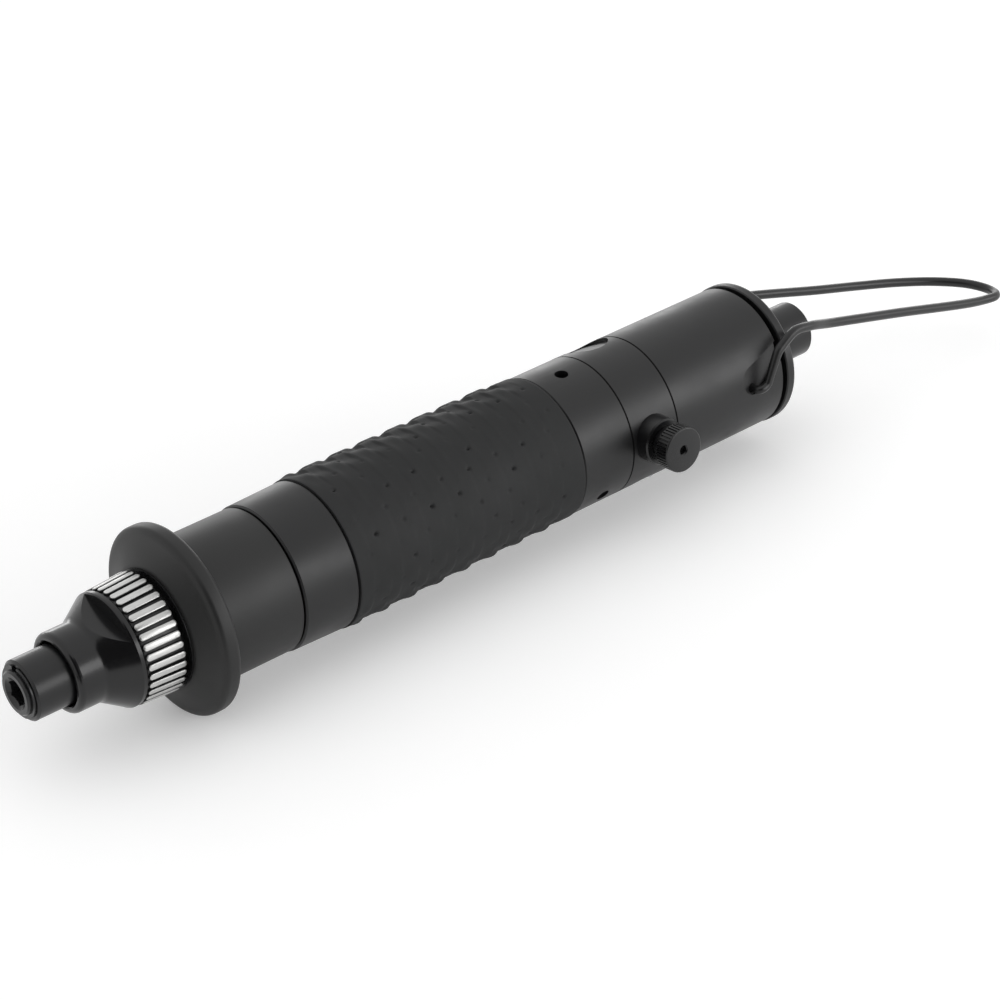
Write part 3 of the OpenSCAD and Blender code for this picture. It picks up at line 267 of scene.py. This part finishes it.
# woven cloth laminate of the vanes: brown resin over a weave
def clothLaminate(name):
    material, tree, shader = newMaterial(name, {})
    space = addNode(tree, "ShaderNodeTexCoord").outputs["Object"]
    weave = addNode(tree, "ShaderNodeTexChecker", {
        "Vector": space, "Scale": perMetre(vaneCloth["thread"]), "Color1": linear("5b3a1f"),
        "Color2": linear("76502d")})
    cloud = addNode(tree, "ShaderNodeTexNoise", {
        "Vector": space, "Scale": perMetre(vaneCloth["cloud"]), "Detail": 3.0})
    rough = addNode(tree, "ShaderNodeMapRange", {
        "Value": cloud.outputs["Fac"], **noiseSpread, "To Min": vaneCloth["cut"][0],
        "To Max": vaneCloth["cut"][1]})
    cut = addNode(tree, "ShaderNodeBump", {
        "Height": weave.outputs["Fac"], "Distance": vaneCloth["threadDepth"] * mm, "Strength": 1.0})
    tree.links.new(weave.outputs["Color"], shader.inputs["Base Color"])
    tree.links.new(rough.outputs["Result"], shader.inputs["Roughness"])
    tree.links.new(cut.outputs["Normal"], shader.inputs["Normal"])
    return material


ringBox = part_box("knurled_ring")
finishes = {
    # steel cone, polished before it was blackened: near black, and it mirrors the studio
    "gloss_black": blackMetal("glossBlackOxide", ("0d0d0e", "121213"), 0.2, 0.3, 0.001),
    # hard anodised aluminium tubes: black, with one soft, wide highlight
    "housing_black": blackMetal("hardAnodisedTube", ("0e0e0f", "131314"), 0.4),
    # black oxide on a turned ring: hardly duller than the tubes
    "satin_black": blackMetal("satinBlackOxide", ("0e0e0f", "131314"), 0.42),
    # turned steel, blackened: a narrower highlight than the tubes have
    "blackened_steel": blackMetal("blackenedSteel", ("0d0d0e", "131314"), 0.28),
    # oiled steel: greyer, with a sharp highlight
    "dark_steel": blackMetal("oiledBlackSteel", ("121213", "1b1b1c"), 0.25),
    # blackened spring wire: dark grey, with a thin line of light along it
    "bail_wire": blackMetal("blackenedSpringWire", ("111112", "191919"), 0.35, 0.6),
    # nitrile rubber: black with a faint sheen
    "guard_rubber": mouldedRubber("nitrileGuard", ("131313", "181818"), 0.5, 0.25, 0.015, 0.4),
    # foamed rubber: greyer than the rest, and without a highlight
    "grip_rubber": mouldedRubber("foamedGripRubber", ("1b1b1c", "212222"), 0.72, 0.3, 0.03, 0.33),
    # nitrile rings with an oiled skin: smooth and black
    "seal_rubber": mouldedRubber("nitrileSeal", ("141414", "1b1b1b"), 0.5, 0.2, 0.005, 0.4),
    # black between the ribs, scratched silver on their tops
    "ribbed_steel": ribbedSteel("groundRibSteel", ringBox[0].x, ringBox[1].x),
    # drawn wire: grey, bright along the turns
    "spring_steel": machinedMetal("drawnSpringWire", ("8f9093", "a7a8ab"), 0.3, 0.5),
    # lapped balls and ground pins: the brightest steel
    "ball_steel": machinedMetal("hardenedGroundSteel", ("b6b7ba", "c9cacd"), 0.12, 0.4),
    # turned and milled tool steel: grey, with fine tool marks
    "machined_steel": machinedMetal("turnedToolSteel", ("8d8e91", "a3a4a7"), 0.32, 0.25),
    # ground races: pale and bright
    "bearing_steel": machinedMetal("groundBearingSteel", ("a8a9ac", "bcbdc0"), 0.2, 0.3),
    # hobbed and hardened teeth: darker grey
    "gear_steel": machinedMetal("hobbedGearSteel", ("77787b", "8d8e91"), 0.3, 0.2),
    # ground rotor: darker grey too, and smoother
    "rotor_steel": machinedMetal("groundRotorSteel", ("808184", "97989b"), 0.25, 0.2),
    # sintered bronze, full of oil: warm and dull
    "bronze": machinedMetal("sinteredBronze", ("a5793f", "bb8d50"), 0.38, 0.3),
    # phenolic vanes: brown, with the weave just visible
    "vane_laminate": clothLaminate("clothLaminate"),
    # wool felt: pale, without any highlight
    "felt": pressedFelt("pressedFelt"),
}
slotOf = {part["node"]: part["material_slot"] for part in frame["record"]["subparts"]}
for nodeName, cadNode in frame["nodes"].items():
    cadNode.data.materials.clear()
    cadNode.data.materials.append(finishes[slotOf[nodeName]])
print("finishes set on", len(frame["nodes"]), "nodes")
bodyOf = {node: body for body, nodes in frame["record"]["behaviour"]["bodies"].items()
          for node in nodes}
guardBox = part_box("hand_guard")
mergeWithin = 0.004 * mm


# selects one piece alone and opens it for editing
def openPiece(piece):
    if bpy.context.object and bpy.context.object.mode == "EDIT":
        bpy.ops.object.mode_set(mode="OBJECT")
    bpy.ops.object.select_all(action="DESELECT")
    piece.select_set(True)
    bpy.context.view_layer.objects.active = piece
    bpy.ops.object.mode_set(mode="EDIT")
    bpy.ops.mesh.select_all(action="SELECT")


# merges, turns the faces outwards, smooths and puts the piece on a node's body, in its place or
# beside it
def closePiece(piece, nodeName, smoothAngle=32, standsFor=True):
    bpy.ops.mesh.select_all(action="SELECT")
    bpy.ops.mesh.remove_doubles(threshold=mergeWithin)
    bpy.ops.mesh.normals_make_consistent(inside=False)
    bpy.ops.object.mode_set(mode="OBJECT")
    bpy.ops.object.transform_apply(location=True, rotation=True, scale=True)
    bpy.ops.object.shade_smooth_by_angle(angle=math.radians(smoothAngle))
    piece.data.materials.clear()
    piece.data.materials.append(finishes[slotOf[nodeName]])
    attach(piece, bodyOf[nodeName])
    if standsFor:
        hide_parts(nodeName)
    print(piece.name, "made,", len(piece.data.polygons), "faces")


# points on an arc from one angle to another, in degrees
def arcPoints(centre, radius, first, last, steps):
    return [(centre[0] + radius * math.cos(math.radians(first + (last - first) * i / steps)),
             centre[1] + radius * math.sin(math.radians(first + (last - first) * i / steps)))
            for i in range(steps + 1)]


# draws a closed profile point by point and spins it; a point is (distance along, radius) in mm
def spunPiece(name, profile, steps, origin=Vector((0, 0, 0)), along=Vector((1, 0, 0))):
    places = [origin + along * (d * mm) + Vector((0, 0, r * mm)) for d, r in profile]
    bpy.ops.object.select_all(action="DESELECT")
    bpy.ops.mesh.primitive_plane_add(size=mm, location=places[0])
    piece = bpy.context.object
    piece.name = name
    bpy.ops.object.transform_apply(location=True, rotation=True, scale=True)
    openPiece(piece)
    bpy.ops.mesh.merge(type="CENTER")
    for here, there in zip(places, places[1:] + places[:1]):
        bpy.ops.mesh.extrude_region_move(TRANSFORM_OT_translate={"value": there - here})
    bpy.ops.mesh.select_all(action="SELECT")
    bpy.ops.mesh.remove_doubles(threshold=mergeWithin)
    bpy.ops.mesh.select_all(action="SELECT")
    bpy.ops.mesh.spin(steps=steps, angle=math.tau, center=origin, axis=along)
    return piece


# Foamed rubber sleeve with staggered scales: steep towards the nose on top, towards the rear below
grip = {
    "lengthSteps": 250, "roundSteps": 312, "inner": 19.02, "front": 20.7, "rear": 20.25,
    "round": 0.6, "perRing": 13, "pitch": 9.1, "firstX": 98.0, "stagger": 3.6,
    "quietAngle": 33,                 # halfway between the two rows where the scales stand highest
    "relief": (0.1, 0.7, 1.12),       # there, on the lower row and on the upper row
    "reliefFocus": 8,
    "rise": (0.26, 0.19), "fall": (0.17, 0.07),    # share of a pitch, and its change over the round
    "pitSize": (0.62, 0.42), "pitDepth": (0.08, 0.85), "pitContrast": 2.6, "pitEdge": 1.5,
    "pitRadius": 20.5, "pitStray": (0.7, 0.8),
    "frontFade": (0.8, 3), "rearFade": (2, 6),     # plain length at the end, then the fade
}
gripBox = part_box("rubber_grip")
gripEnds = (gripBox[0].x / mm, gripBox[1].x / mm)


def smoothStep(t):
    t = min(max(t, 0), 1)
    return t * t * (3 - 2 * t)


# one scale along the tool: up over the share called rise, flat, down over fall, flat
def scaleHeight(u, rise, fall):
    u %= 1
    return smoothStep(u / rise) if u < 0.5 else 1 - smoothStep((u - 0.5) / fall)


# hash of two whole numbers, between 0 and 1
def chance(i, j):
    return (math.sin(i * 12.9898 + j * 78.233) * 43758.5453) % 1


def gripHeight(x, angle):
    lean = math.sin(math.radians(angle - grip["quietAngle"]))
    rise, fall = grip["rise"][0] - grip["rise"][1] * lean, grip["fall"][0] + grip["fall"][1] * lean
    quiet, below, above = grip["relief"]
    swell = quiet + ((above if lean > 0 else below) - quiet) * abs(lean) ** grip["reliefFocus"]
    fromRow = abs((angle - grip["quietAngle"] + 180) % 360 - 180) - 90
    share = 0.5 + 0.5 * math.cos(math.radians(grip["perRing"] * fromRow))
    even = scaleHeight((x - grip["firstX"]) / grip["pitch"], rise, fall)
    odd = scaleHeight((x - grip["firstX"] + grip["stagger"]) / grip["pitch"], rise, fall)
    height = swell * (share * even + (1 - share) * odd - 0.5)
    halfStep = 180 / grip["perRing"]
    place = round(angle / halfStep)
    column = place % (2 * grip["perRing"])
    shift = grip["stagger"] if column % 2 else 0
    row = round((x - grip["firstX"] + shift) / grip["pitch"])
    stray = [size * (chance(*pair) - 0.5)
             for size, pair in zip(grip["pitStray"], ((row, column), (column, row)))]
    along = x - (grip["firstX"] - shift + row * grip["pitch"]) - stray[0]
    across = math.radians(angle - place * halfStep) * grip["pitRadius"] - stray[1]
    shallow, deeper = grip["pitDepth"]
    depth = shallow + deeper * chance(row + 7, column + 3) ** grip["pitContrast"]
    reach = (along / grip["pitSize"][0]) ** 2 + (across / grip["pitSize"][1]) ** 2
    pit = depth * math.exp(-reach ** grip["pitEdge"])
    fromFront = (x - gripEnds[0] - grip["frontFade"][0]) / grip["frontFade"][1]
    fromRear = (gripEnds[1] - grip["rearFade"][0] - x) / grip["rearFade"][1]
    edge = smoothStep(fromFront) * smoothStep(fromRear)
    return (height - pit) * edge


bpy.ops.object.select_all(action="DESELECT")
bpy.ops.mesh.primitive_grid_add(
    x_subdivisions=grip["lengthSteps"], y_subdivisions=grip["roundSteps"], size=1)
rubberGrip = bpy.context.object
rubberGrip.name = "rubberGripSleeve"
for vertex in rubberGrip.data.vertices:
    along, angle = vertex.co.x + 0.5, 360 * (vertex.co.y + 0.5)
    x = gripEnds[0] + (gripEnds[1] - gripEnds[0]) * along
    toEnd = min(x - gripEnds[0], gripEnds[1] - x)
    radius = grip["front"] + (grip["rear"] - grip["front"]) * along
    if toEnd < grip["round"]:
        radius -= grip["round"] * (1 - math.sqrt(1 - (1 - toEnd / grip["round"]) ** 2))
    radius += gripHeight(x, angle)
    if min(along, 1 - along) < 0.0001:    # the two end rows close the sleeve inwards
        radius = grip["inner"]
    turned = math.radians(angle)
    vertex.co = (x * mm, -radius * mm * math.cos(turned), radius * mm * math.sin(turned))

openPiece(rubberGrip)
bpy.ops.mesh.remove_doubles(threshold=mergeWithin)
bpy.ops.mesh.select_all(action="DESELECT")
bpy.ops.mesh.select_non_manifold()
bpy.ops.mesh.bridge_edge_loops()
closePiece(rubberGrip, "rubber_grip", 60)

# Torque ring: a turned blank with one rounded rib, copied all the way round
torqueRing = {"ribs": 36, "ribWidth": 1.92, "ribHeight": 0.8, "ribRoot": 0.4, "ribRound": 0.42,
              "ribCorner": 0.88, "frontRadius": wornRibs["front"], "rearRadius": wornRibs["rear"],
              "bore": 13.26, "thread": 14.21, "step": 33.2, "ends": 0.15, "edge": 0.45,
              "turnSteps": 144}
ringEnds = (ringBox[0].x / mm, ringBox[1].x / mm)
base = [torqueRing[end] - torqueRing["ribHeight"] for end in ("frontRadius", "rearRadius")]
ringEdge = torqueRing["edge"]
knurledRing = spunPiece("knurledTorqueRing", [
    (ringEnds[0], torqueRing["bore"]), (ringEnds[0], base[0] - ringEdge)]
    + arcPoints((ringEnds[0] + ringEdge, base[0] - ringEdge), ringEdge, 165, 95, 3)
    + arcPoints((ringEnds[1] - ringEdge, base[1] - ringEdge), ringEdge, 85, 0, 3)
    + [(ringEnds[1], torqueRing["thread"]), (torqueRing["step"], torqueRing["thread"]),
       (torqueRing["step"], torqueRing["bore"])], torqueRing["turnSteps"])
ribLength = ringEnds[1] - ringEnds[0] - 2 * torqueRing["ends"]
slope = math.atan2(torqueRing["rearRadius"] - torqueRing["frontRadius"], ringEnds[1] - ringEnds[0])
ribDeep = torqueRing["ribHeight"] + torqueRing["ribRoot"]
middle = (torqueRing["frontRadius"] + torqueRing["rearRadius"]) / 2 - ribDeep / 2
bpy.ops.mesh.select_all(action="DESELECT")
bpy.ops.mesh.primitive_cube_add(
    size=mm, location=(sum(ringEnds) / 2 * mm, 0, middle * mm), rotation=(0, -slope, 0),
    scale=(ribLength, torqueRing["ribWidth"], ribDeep))
ribMesh = bmesh.from_edit_mesh(knurledRing.data)
outward = Vector((-math.sin(slope), 0, math.cos(slope)))
corners = [edge for edge in ribMesh.edges if edge.select
           and abs((edge.verts[0].co - edge.verts[1].co).normalized().dot(outward)) > 0.9]
bpy.ops.mesh.select_all(action="DESELECT")
for edge in corners:
    edge.select_set(True)
bmesh.update_edit_mesh(knurledRing.data)
bpy.ops.mesh.bevel(offset=torqueRing["ribCorner"] * mm, segments=5, affect="EDGES")
bpy.ops.mesh.select_linked()
ribMesh = bmesh.from_edit_mesh(knurledRing.data)
ribTops = [face for face in ribMesh.faces if face.select and face.normal.dot(outward) > 0.99]
bpy.ops.mesh.select_all(action="DESELECT")
for face in ribTops:
    face.select_set(True)
bmesh.update_edit_mesh(knurledRing.data)
bpy.ops.mesh.bevel(offset=torqueRing["ribRound"] * mm, segments=3, affect="EDGES")
bpy.ops.mesh.select_linked()
for turn in range(torqueRing["ribs"] - 1):
    bpy.ops.mesh.duplicate()
    bpy.ops.transform.rotate(
        value=math.tau / torqueRing["ribs"], orient_axis="X", center_override=(0, 0, 0))
closePiece(knurledRing, "knurled_ring", 40)

# Guard: one soft moulding, a dished rim in front and a plain boot behind
guard = {"inner": 16.0, "rim": 25.5, "boot": 19.65, "rimFront": 44.4, "rimThick": 4.7, "dish": 30,
         "dishOffset": (-29.55, 5.3), "dishArc": (-28.6, -12.5), "edge": 1.5, "edgeForward": 0.2,
         "fillet": 2.6, "lip": 0.45, "seam": 0.4, "turnSteps": 160}
guardEnds = (guardBox[0].x / mm, guardBox[1].x / mm - guard["seam"])
dishCentre = (guard["rimFront"] + guard["dishOffset"][0], guard["rim"] + guard["dishOffset"][1])
edgeRadius = guard["rim"] - guard["edge"]
rimRear = guard["rimFront"] + guard["rimThick"]
handGuard = spunPiece("handGuardMoulding", [(guardEnds[0], guard["inner"])]
    + arcPoints(dishCentre, guard["dish"], *guard["dishArc"], 10)
    + arcPoints((guard["rimFront"] + guard["edge"] - guard["edgeForward"], edgeRadius),
                guard["edge"], 160, 90, 6)
    + arcPoints((rimRear - guard["edge"], edgeRadius), guard["edge"], 88, 0, 6)
    + arcPoints((rimRear + guard["fillet"], guard["boot"] + guard["fillet"]),
                guard["fillet"], 180, 270, 8)
    + arcPoints((guardEnds[1] - guard["lip"], guard["boot"] - guard["lip"]), guard["lip"], 90, 0, 3)
    + [(guardEnds[1], guard["inner"])], guard["turnSteps"])
closePiece(handGuard, "hand_guard", 50)

# Painted shade: a near-black, nearly matt ring in each of the two joints of the housing, standing
# in for the shade inside the joint gap
jointShadeRing = {"joints": {"frontJointShade": 183.1, "rearJointShade": 199.3}, "root": 19.77,
            "shoulder": 19.98, "top": 20.03, "halfWidth": 0.29, "flat": 0.6, "turnSteps": 144}
# painted shade of the joint gap: near black, with almost no gleam
gapShadePaint = mouldedRubber("paintedGapShade", ("030303", "070707"), 0.85, 0.3, 0.01, 0.08)
for shadeRingName, jointX in jointShadeRing["joints"].items():
    reach, flat = jointShadeRing["halfWidth"], jointShadeRing["flat"] * jointShadeRing["halfWidth"]
    shadeRing = spunPiece(shadeRingName, [
        (jointX, jointShadeRing["root"]), (jointX - reach, jointShadeRing["shoulder"]),
        (jointX - flat, jointShadeRing["top"]), (jointX + flat, jointShadeRing["top"]),
        (jointX + reach, jointShadeRing["shoulder"])], jointShadeRing["turnSteps"])
    closePiece(shadeRing, "seal_rings", 60, standsFor=False)
    # painted shade: the ring takes the near-black gap shade instead of the seal rubber
    shadeRing.data.materials[0] = gapShadePaint

# Reversing knob: a turned body whose rim is cut with fine straight knurls
knob = {"axisX": 190.7, "under": 24.15, "rimFrom": 27.0, "face": 31.4, "radius": 6.3, "neck": 4.4,
        "flutes": 42, "fluteDepth": 0.32, "fluteSide": 0.14, "edge": 0.4, "underEdge": 0.35,
        "bore": 0.6, "screw": 1.15, "screwEdge": (0.3, 0.35), "screwDepth": 3}
knobRim = [(knob["rimFrom"] + knob["underEdge"], knob["radius"]),
           (knob["face"] - knob["edge"], knob["radius"])]
reverseKnob = spunPiece("knurledReverseKnob", [
    (knob["under"], knob["bore"]), (knob["under"], knob["neck"]), (knob["rimFrom"], knob["neck"]),
    (knob["rimFrom"], knob["radius"] - knob["underEdge"])] + knobRim
    + arcPoints((knob["face"] - knob["edge"], knob["radius"] - knob["edge"]),
                knob["edge"], 72, 0, 3)
    + [(knob["face"], knob["screw"] + knob["screwEdge"][0]),
       (knob["face"] - knob["screwEdge"][1], knob["screw"]),
       (knob["face"] - knob["screwDepth"], knob["screw"]),
       (knob["face"] - knob["screwDepth"], knob["bore"])],
    2 * knob["flutes"], Vector((knob["axisX"] * mm, 0, 0)), Vector((0, -1, 0)))
bpy.ops.mesh.select_all(action="SELECT")
bpy.ops.mesh.remove_doubles(threshold=mergeWithin)
knobMesh = bmesh.from_edit_mesh(reverseKnob.data)
step = math.tau / (2 * knob["flutes"])
for face in knobMesh.faces:
    middle = face.calc_center_median()
    out = Vector((middle.x - knob["axisX"] * mm, middle.z))
    onRim = out.length > (knob["radius"] - 0.2) * mm
    between = knobRim[0][0] * mm < -middle.y < knobRim[1][0] * mm
    everySecond = math.floor(math.atan2(out.y, out.x) / step) % 2 == 0
    face.select_set(onRim and between and everySecond)
bmesh.update_edit_mesh(reverseKnob.data)
bpy.ops.mesh.normals_make_consistent(inside=False)
bpy.ops.mesh.inset(
    thickness=knob["fluteSide"] * mm, depth=-knob["fluteDepth"] * mm, use_individual=True)
closePiece(reverseKnob, "reverse_knob", 30)

# Bail: one length of spring wire, bent by hand, hooked into the housing at both ends. The wire is
# bare where it turns in the housing, and a black coating makes it a little thicker outside.
# Each point is (behind the pivot, distance from the axis, height, bend radius) in mm, and in the
# loop the second number has the side's sign. The wire runs smoothly through a point with no radius.
bail = {
    "pivotX": 228.5, "wire": 1.2, "coating": 0.16, "coatedFrom": 3, "coatedBy": 9, "hook": 17.4,
    "bendSteps": 8, "curveSteps": 14, "shortest": 1.5,    # a shorter stretch stays straight
    "bendShare": 0.48,                                    # the most of a leg that a bend takes
    "nearLeg": [(0, 21.7, 0, 1.6), (2.9, 21.7, 0.6, 2.2), (7.6, 21.7, 9.4, 4),
                (13.9, 21.7, 12.8, 0), (20.6, 20.9, 11.8, 0), (31.4, 18.2, 8, 0),
                (60, 15.85, -0.1, 0)],
    "farLeg": [(0, 21.7, 0, 1.6), (5, 21.7, 0.8, 3), (16.5, 21.7, 6, 0), (26, 19.6, 6.2, 0)],
    "loop": [(97.8, -13.4, -10.7, 0), (106.2, -12.2, -12.2, 0), (109.2, -6.8, -12.9, 0),
             (107.4, -0.4, -12.3, 0), (101, 6.6, -11.2, 0), (90, 12, -9.1, 0),
             (76, 14.8, -6, 0), (61.4, 15.8, -2.3, 0)],
}


# the stretch from b to c of a smooth curve that passes through a, b, c and d
def curveThrough(a, b, c, d, steps):
    first = (b - a).length ** 0.5
    second = first + (c - b).length ** 0.5
    third = second + (d - c).length ** 0.5
    stretch = []
    for i in range(steps):
        t = first + (second - first) * i / steps
        ab, bc = a.lerp(b, t / first), b.lerp(c, (t - first) / (second - first))
        cd = c.lerp(d, (t - second) / (third - second))
        early, late = ab.lerp(bc, t / second), bc.lerp(cd, (t - first) / (third - first))
        stretch.append(early.lerp(late, (t - first) / (second - first)))
    return stretch


route = [(0, -bail["hook"], 0, 0)] + [(x, -y, z, r) for x, y, z, r in bail["nearLeg"]]
route += bail["loop"] + bail["farLeg"][::-1] + [(0, bail["hook"], 0, 0)]
knots = [Vector(route[0][:3])]
for before, corner, after in zip(route, route[1:], route[2:]):
    here = Vector(corner[:3])
    if not corner[3]:
        knots.append(here)
        continue
    back, ahead = Vector(before[:3]) - here, Vector(after[:3]) - here
    half = back.angle(ahead) / 2
    most = bail["bendShare"] * min(back.length, ahead.length)
    cut = min(corner[3] / math.tan(half), most)
    first, last = here + back.normalized() * cut, here + ahead.normalized() * cut
    for i in range(bail["bendSteps"] + 1):
        t = i / bail["bendSteps"]
        knots.append(first.lerp(here, t).lerp(here.lerp(last, t), t))
knots.append(Vector(route[-1][:3]))
knots = [2 * knots[0] - knots[1]] + knots + [2 * knots[-1] - knots[-2]]
wirePath = []
for a, b, c, d in zip(knots, knots[1:], knots[2:], knots[3:]):
    steps = bail["curveSteps"] if (c - b).length > bail["shortest"] else 1
    wirePath += curveThrough(a, b, c, d, steps)
wirePath.append(knots[-2])
wireCurve = bpy.data.curves.new("hangingBail", "CURVE")
wireCurve.dimensions = "3D"
wireCurve.bevel_depth = bail["wire"] * mm
wireCurve.bevel_resolution = 4
wireCurve.use_fill_caps = True
spline = wireCurve.splines.new("POLY")
spline.points.add(len(wirePath) - 1)
for point, place in zip(spline.points, wirePath):
    point.co = ((bail["pivotX"] + place.x) * mm, place.y * mm, place.z * mm, 1)
    coated = smoothStep((place.x - bail["coatedFrom"]) / (bail["coatedBy"] - bail["coatedFrom"]))
    point.radius = 1 + bail["coating"] / bail["wire"] * coated
hangingBail = bpy.data.objects.new("hangingBail", wireCurve)
bpy.context.scene.collection.objects.link(hangingBail)
bpy.ops.object.select_all(action="DESELECT")
hangingBail.select_set(True)
bpy.context.view_layer.objects.active = hangingBail
bpy.ops.object.convert(target="MESH")
openPiece(hangingBail)
closePiece(hangingBail, "bail", 60)


# Camera as fitted to the photograph, in the frame's own axes
view = {
    "place": Vector((-0.2977, -0.5845, 0.3796)),
    "right": Vector((0.7597, -0.6441, -0.0896)),
    "up": Vector((0.3636, 0.3065, 0.8797)),
    "back": Vector((-0.5391, -0.7009, 0.4671)),
    "lens": 112.3,
    "sensor": 36,
}
cameraData = bpy.data.cameras.new("photoCamera")
cameraData.lens = view["lens"]
cameraData.sensor_width = view["sensor"]
cameraData.clip_start = 0.01
camera = bpy.data.objects.new("photoCamera", cameraData)
turn = Matrix((view["right"], view["up"], view["back"])).transposed()
camera.matrix_world = Matrix.Translation(view["place"]) @ turn.to_4x4()
bpy.context.scene.collection.objects.link(camera)
bpy.context.scene.camera = camera

# White floor just under the guard's rim and a white surround. One long softbox lights the near side
# and a lower one grazes the back. Two dark cards, which only reflections see, give the gloss black
# nose its dark band.
studio = {
    "floorSize": 6.0,
    "floorAt": (0.12, 0),
    "floorUnder": 0.2,    # mm
    "floorCloud": 40,     # mm
    "floorColour": ("f6f6f6", "f9f9f9"),
    "floorLift": 0.17,    # makes the floor as white as the surround in the picture
    "surround": 0.85,
    "softboxes": {
        "nearSoftbox": {"place": (0.80, -1.02, 0.27), "size": (1.5, 0.5), "power": 7.2},
        "rearSoftbox": {"place": (0.95, 1.25, 0.10), "size": (1.8, 0.3), "power": 4.4},
    },
    "aim": (0.15, 0, 0),
    "cardFluff": 20,      # mm
    "darkCards": {
        "darkStudioSide": {"place": (-0.23, -0.56, 0.2), "size": (1, 1),
                           "towards": (0.02, 0, 0)},
        "darkFloorSide": {"place": (-0.19, -0.27, -0.0245), "size": (0.32, 0.37),
                          "towards": (-0.19, -0.27, 1)},
    },
}
bpy.ops.object.select_all(action="DESELECT")
bpy.ops.mesh.primitive_plane_add(
    size=studio["floorSize"],
    location=(*studio["floorAt"], guardBox[0].z - studio["floorUnder"] * mm))
floor = bpy.context.object
floor.name = "studioFloor"
bpy.ops.object.transform_apply(location=True, rotation=False, scale=False)
# matt paper: white and faintly mottled, with the tool's shadow on it
floorPaint, tree, shader = newMaterial("matteWhitePaper", {"Roughness": 0.9})
space = addNode(tree, "ShaderNodeTexCoord").outputs["Object"]
cloud = addNode(tree, "ShaderNodeTexNoise", {
    "Vector": space, "Scale": perMetre(studio["floorCloud"]), "Detail": 3.0})
paper = addNode(tree, "ShaderNodeMix", {
    "Factor": cloud.outputs["Fac"], "A": linear(studio["floorColour"][0]),
    "B": linear(studio["floorColour"][1])}, data_type="RGBA")
tree.links.new(paper.outputs["Result"], shader.inputs["Base Color"])
ray = addNode(tree, "ShaderNodeLightPath")
direct = addNode(tree, "ShaderNodeMath", {
    0: ray.outputs["Is Camera Ray"], 1: ray.outputs["Is Glossy Ray"]}, operation="MAXIMUM")
either = addNode(tree, "ShaderNodeMath", {
    0: direct.outputs["Value"], 1: ray.outputs["Is Transmission Ray"]}, operation="MAXIMUM")
lift = addNode(tree, "ShaderNodeMath", {
    0: either.outputs["Value"], 1: studio["floorLift"]}, operation="MULTIPLY")
shader.inputs["Emission Color"].default_value = (1, 1, 1, 1)
tree.links.new(lift.outputs["Value"], shader.inputs["Emission Strength"])
floor.data.materials.append(floorPaint)

for lampName, lamp in studio["softboxes"].items():
    boxData = bpy.data.lights.new(lampName, "AREA")
    boxData.shape = "RECTANGLE"
    boxData.size, boxData.size_y = lamp["size"]
    boxData.energy = lamp["power"]
    softbox = bpy.data.objects.new(lampName, boxData)
    softbox.location = lamp["place"]
    toAim = Vector(studio["aim"]) - Vector(lamp["place"])
    softbox.rotation_euler = toAim.to_track_quat("-Z", "Y").to_euler()
    bpy.context.scene.collection.objects.link(softbox)

# flocked card: black, without any gleam
cardPaint, tree, shader = newMaterial("blackFlockedCard", {
    "Roughness": 1.0, "Specular IOR Level": 0.0})
space = addNode(tree, "ShaderNodeTexCoord").outputs["Object"]
fluff = addNode(tree, "ShaderNodeTexNoise", {
    "Vector": space, "Scale": perMetre(studio["cardFluff"]), "Detail": 3.0})
flock = addNode(tree, "ShaderNodeMix", {
    "Factor": fluff.outputs["Fac"], "A": linear("080808"), "B": linear("101010")},
    data_type="RGBA")
tree.links.new(flock.outputs["Result"], shader.inputs["Base Color"])
for cardName, card in studio["darkCards"].items():
    facing = Vector(card["towards"]) - Vector(card["place"])
    bpy.ops.object.select_all(action="DESELECT")
    bpy.ops.mesh.primitive_plane_add(
        size=1, location=card["place"], rotation=facing.to_track_quat("Z", "Y").to_euler())
    darkCard = bpy.context.object
    darkCard.scale = (*card["size"], 1)
    darkCard.name = cardName
    darkCard.visible_camera = False
    darkCard.visible_diffuse = False
    darkCard.visible_shadow = False
    bpy.ops.object.transform_apply(location=True, rotation=True, scale=True)
    darkCard.data.materials.append(cardPaint)

world = bpy.data.worlds.new("whiteSurround")
world.use_nodes = True
bpy.context.scene.world = world
tree = world.node_tree
background = tree.nodes["Background"]
background.inputs["Color"].default_value = (1, 1, 1, 1)
ray = addNode(tree, "ShaderNodeLightPath")
seen = addNode(tree, "ShaderNodeMath", {
    0: ray.outputs["Is Camera Ray"], 1: ray.outputs["Is Glossy Ray"]}, operation="MAXIMUM")
through = addNode(tree, "ShaderNodeMath", {
    0: seen.outputs["Value"], 1: ray.outputs["Is Transmission Ray"]}, operation="MAXIMUM")
level = addNode(tree, "ShaderNodeMapRange", {
    "Value": through.outputs["Value"], "To Min": studio["surround"], "To Max": 1.0})
tree.links.new(level.outputs["Result"], background.inputs["Strength"])
bpy.context.scene.view_settings.view_transform = "Standard"
print("camera, floor and lights are in place")
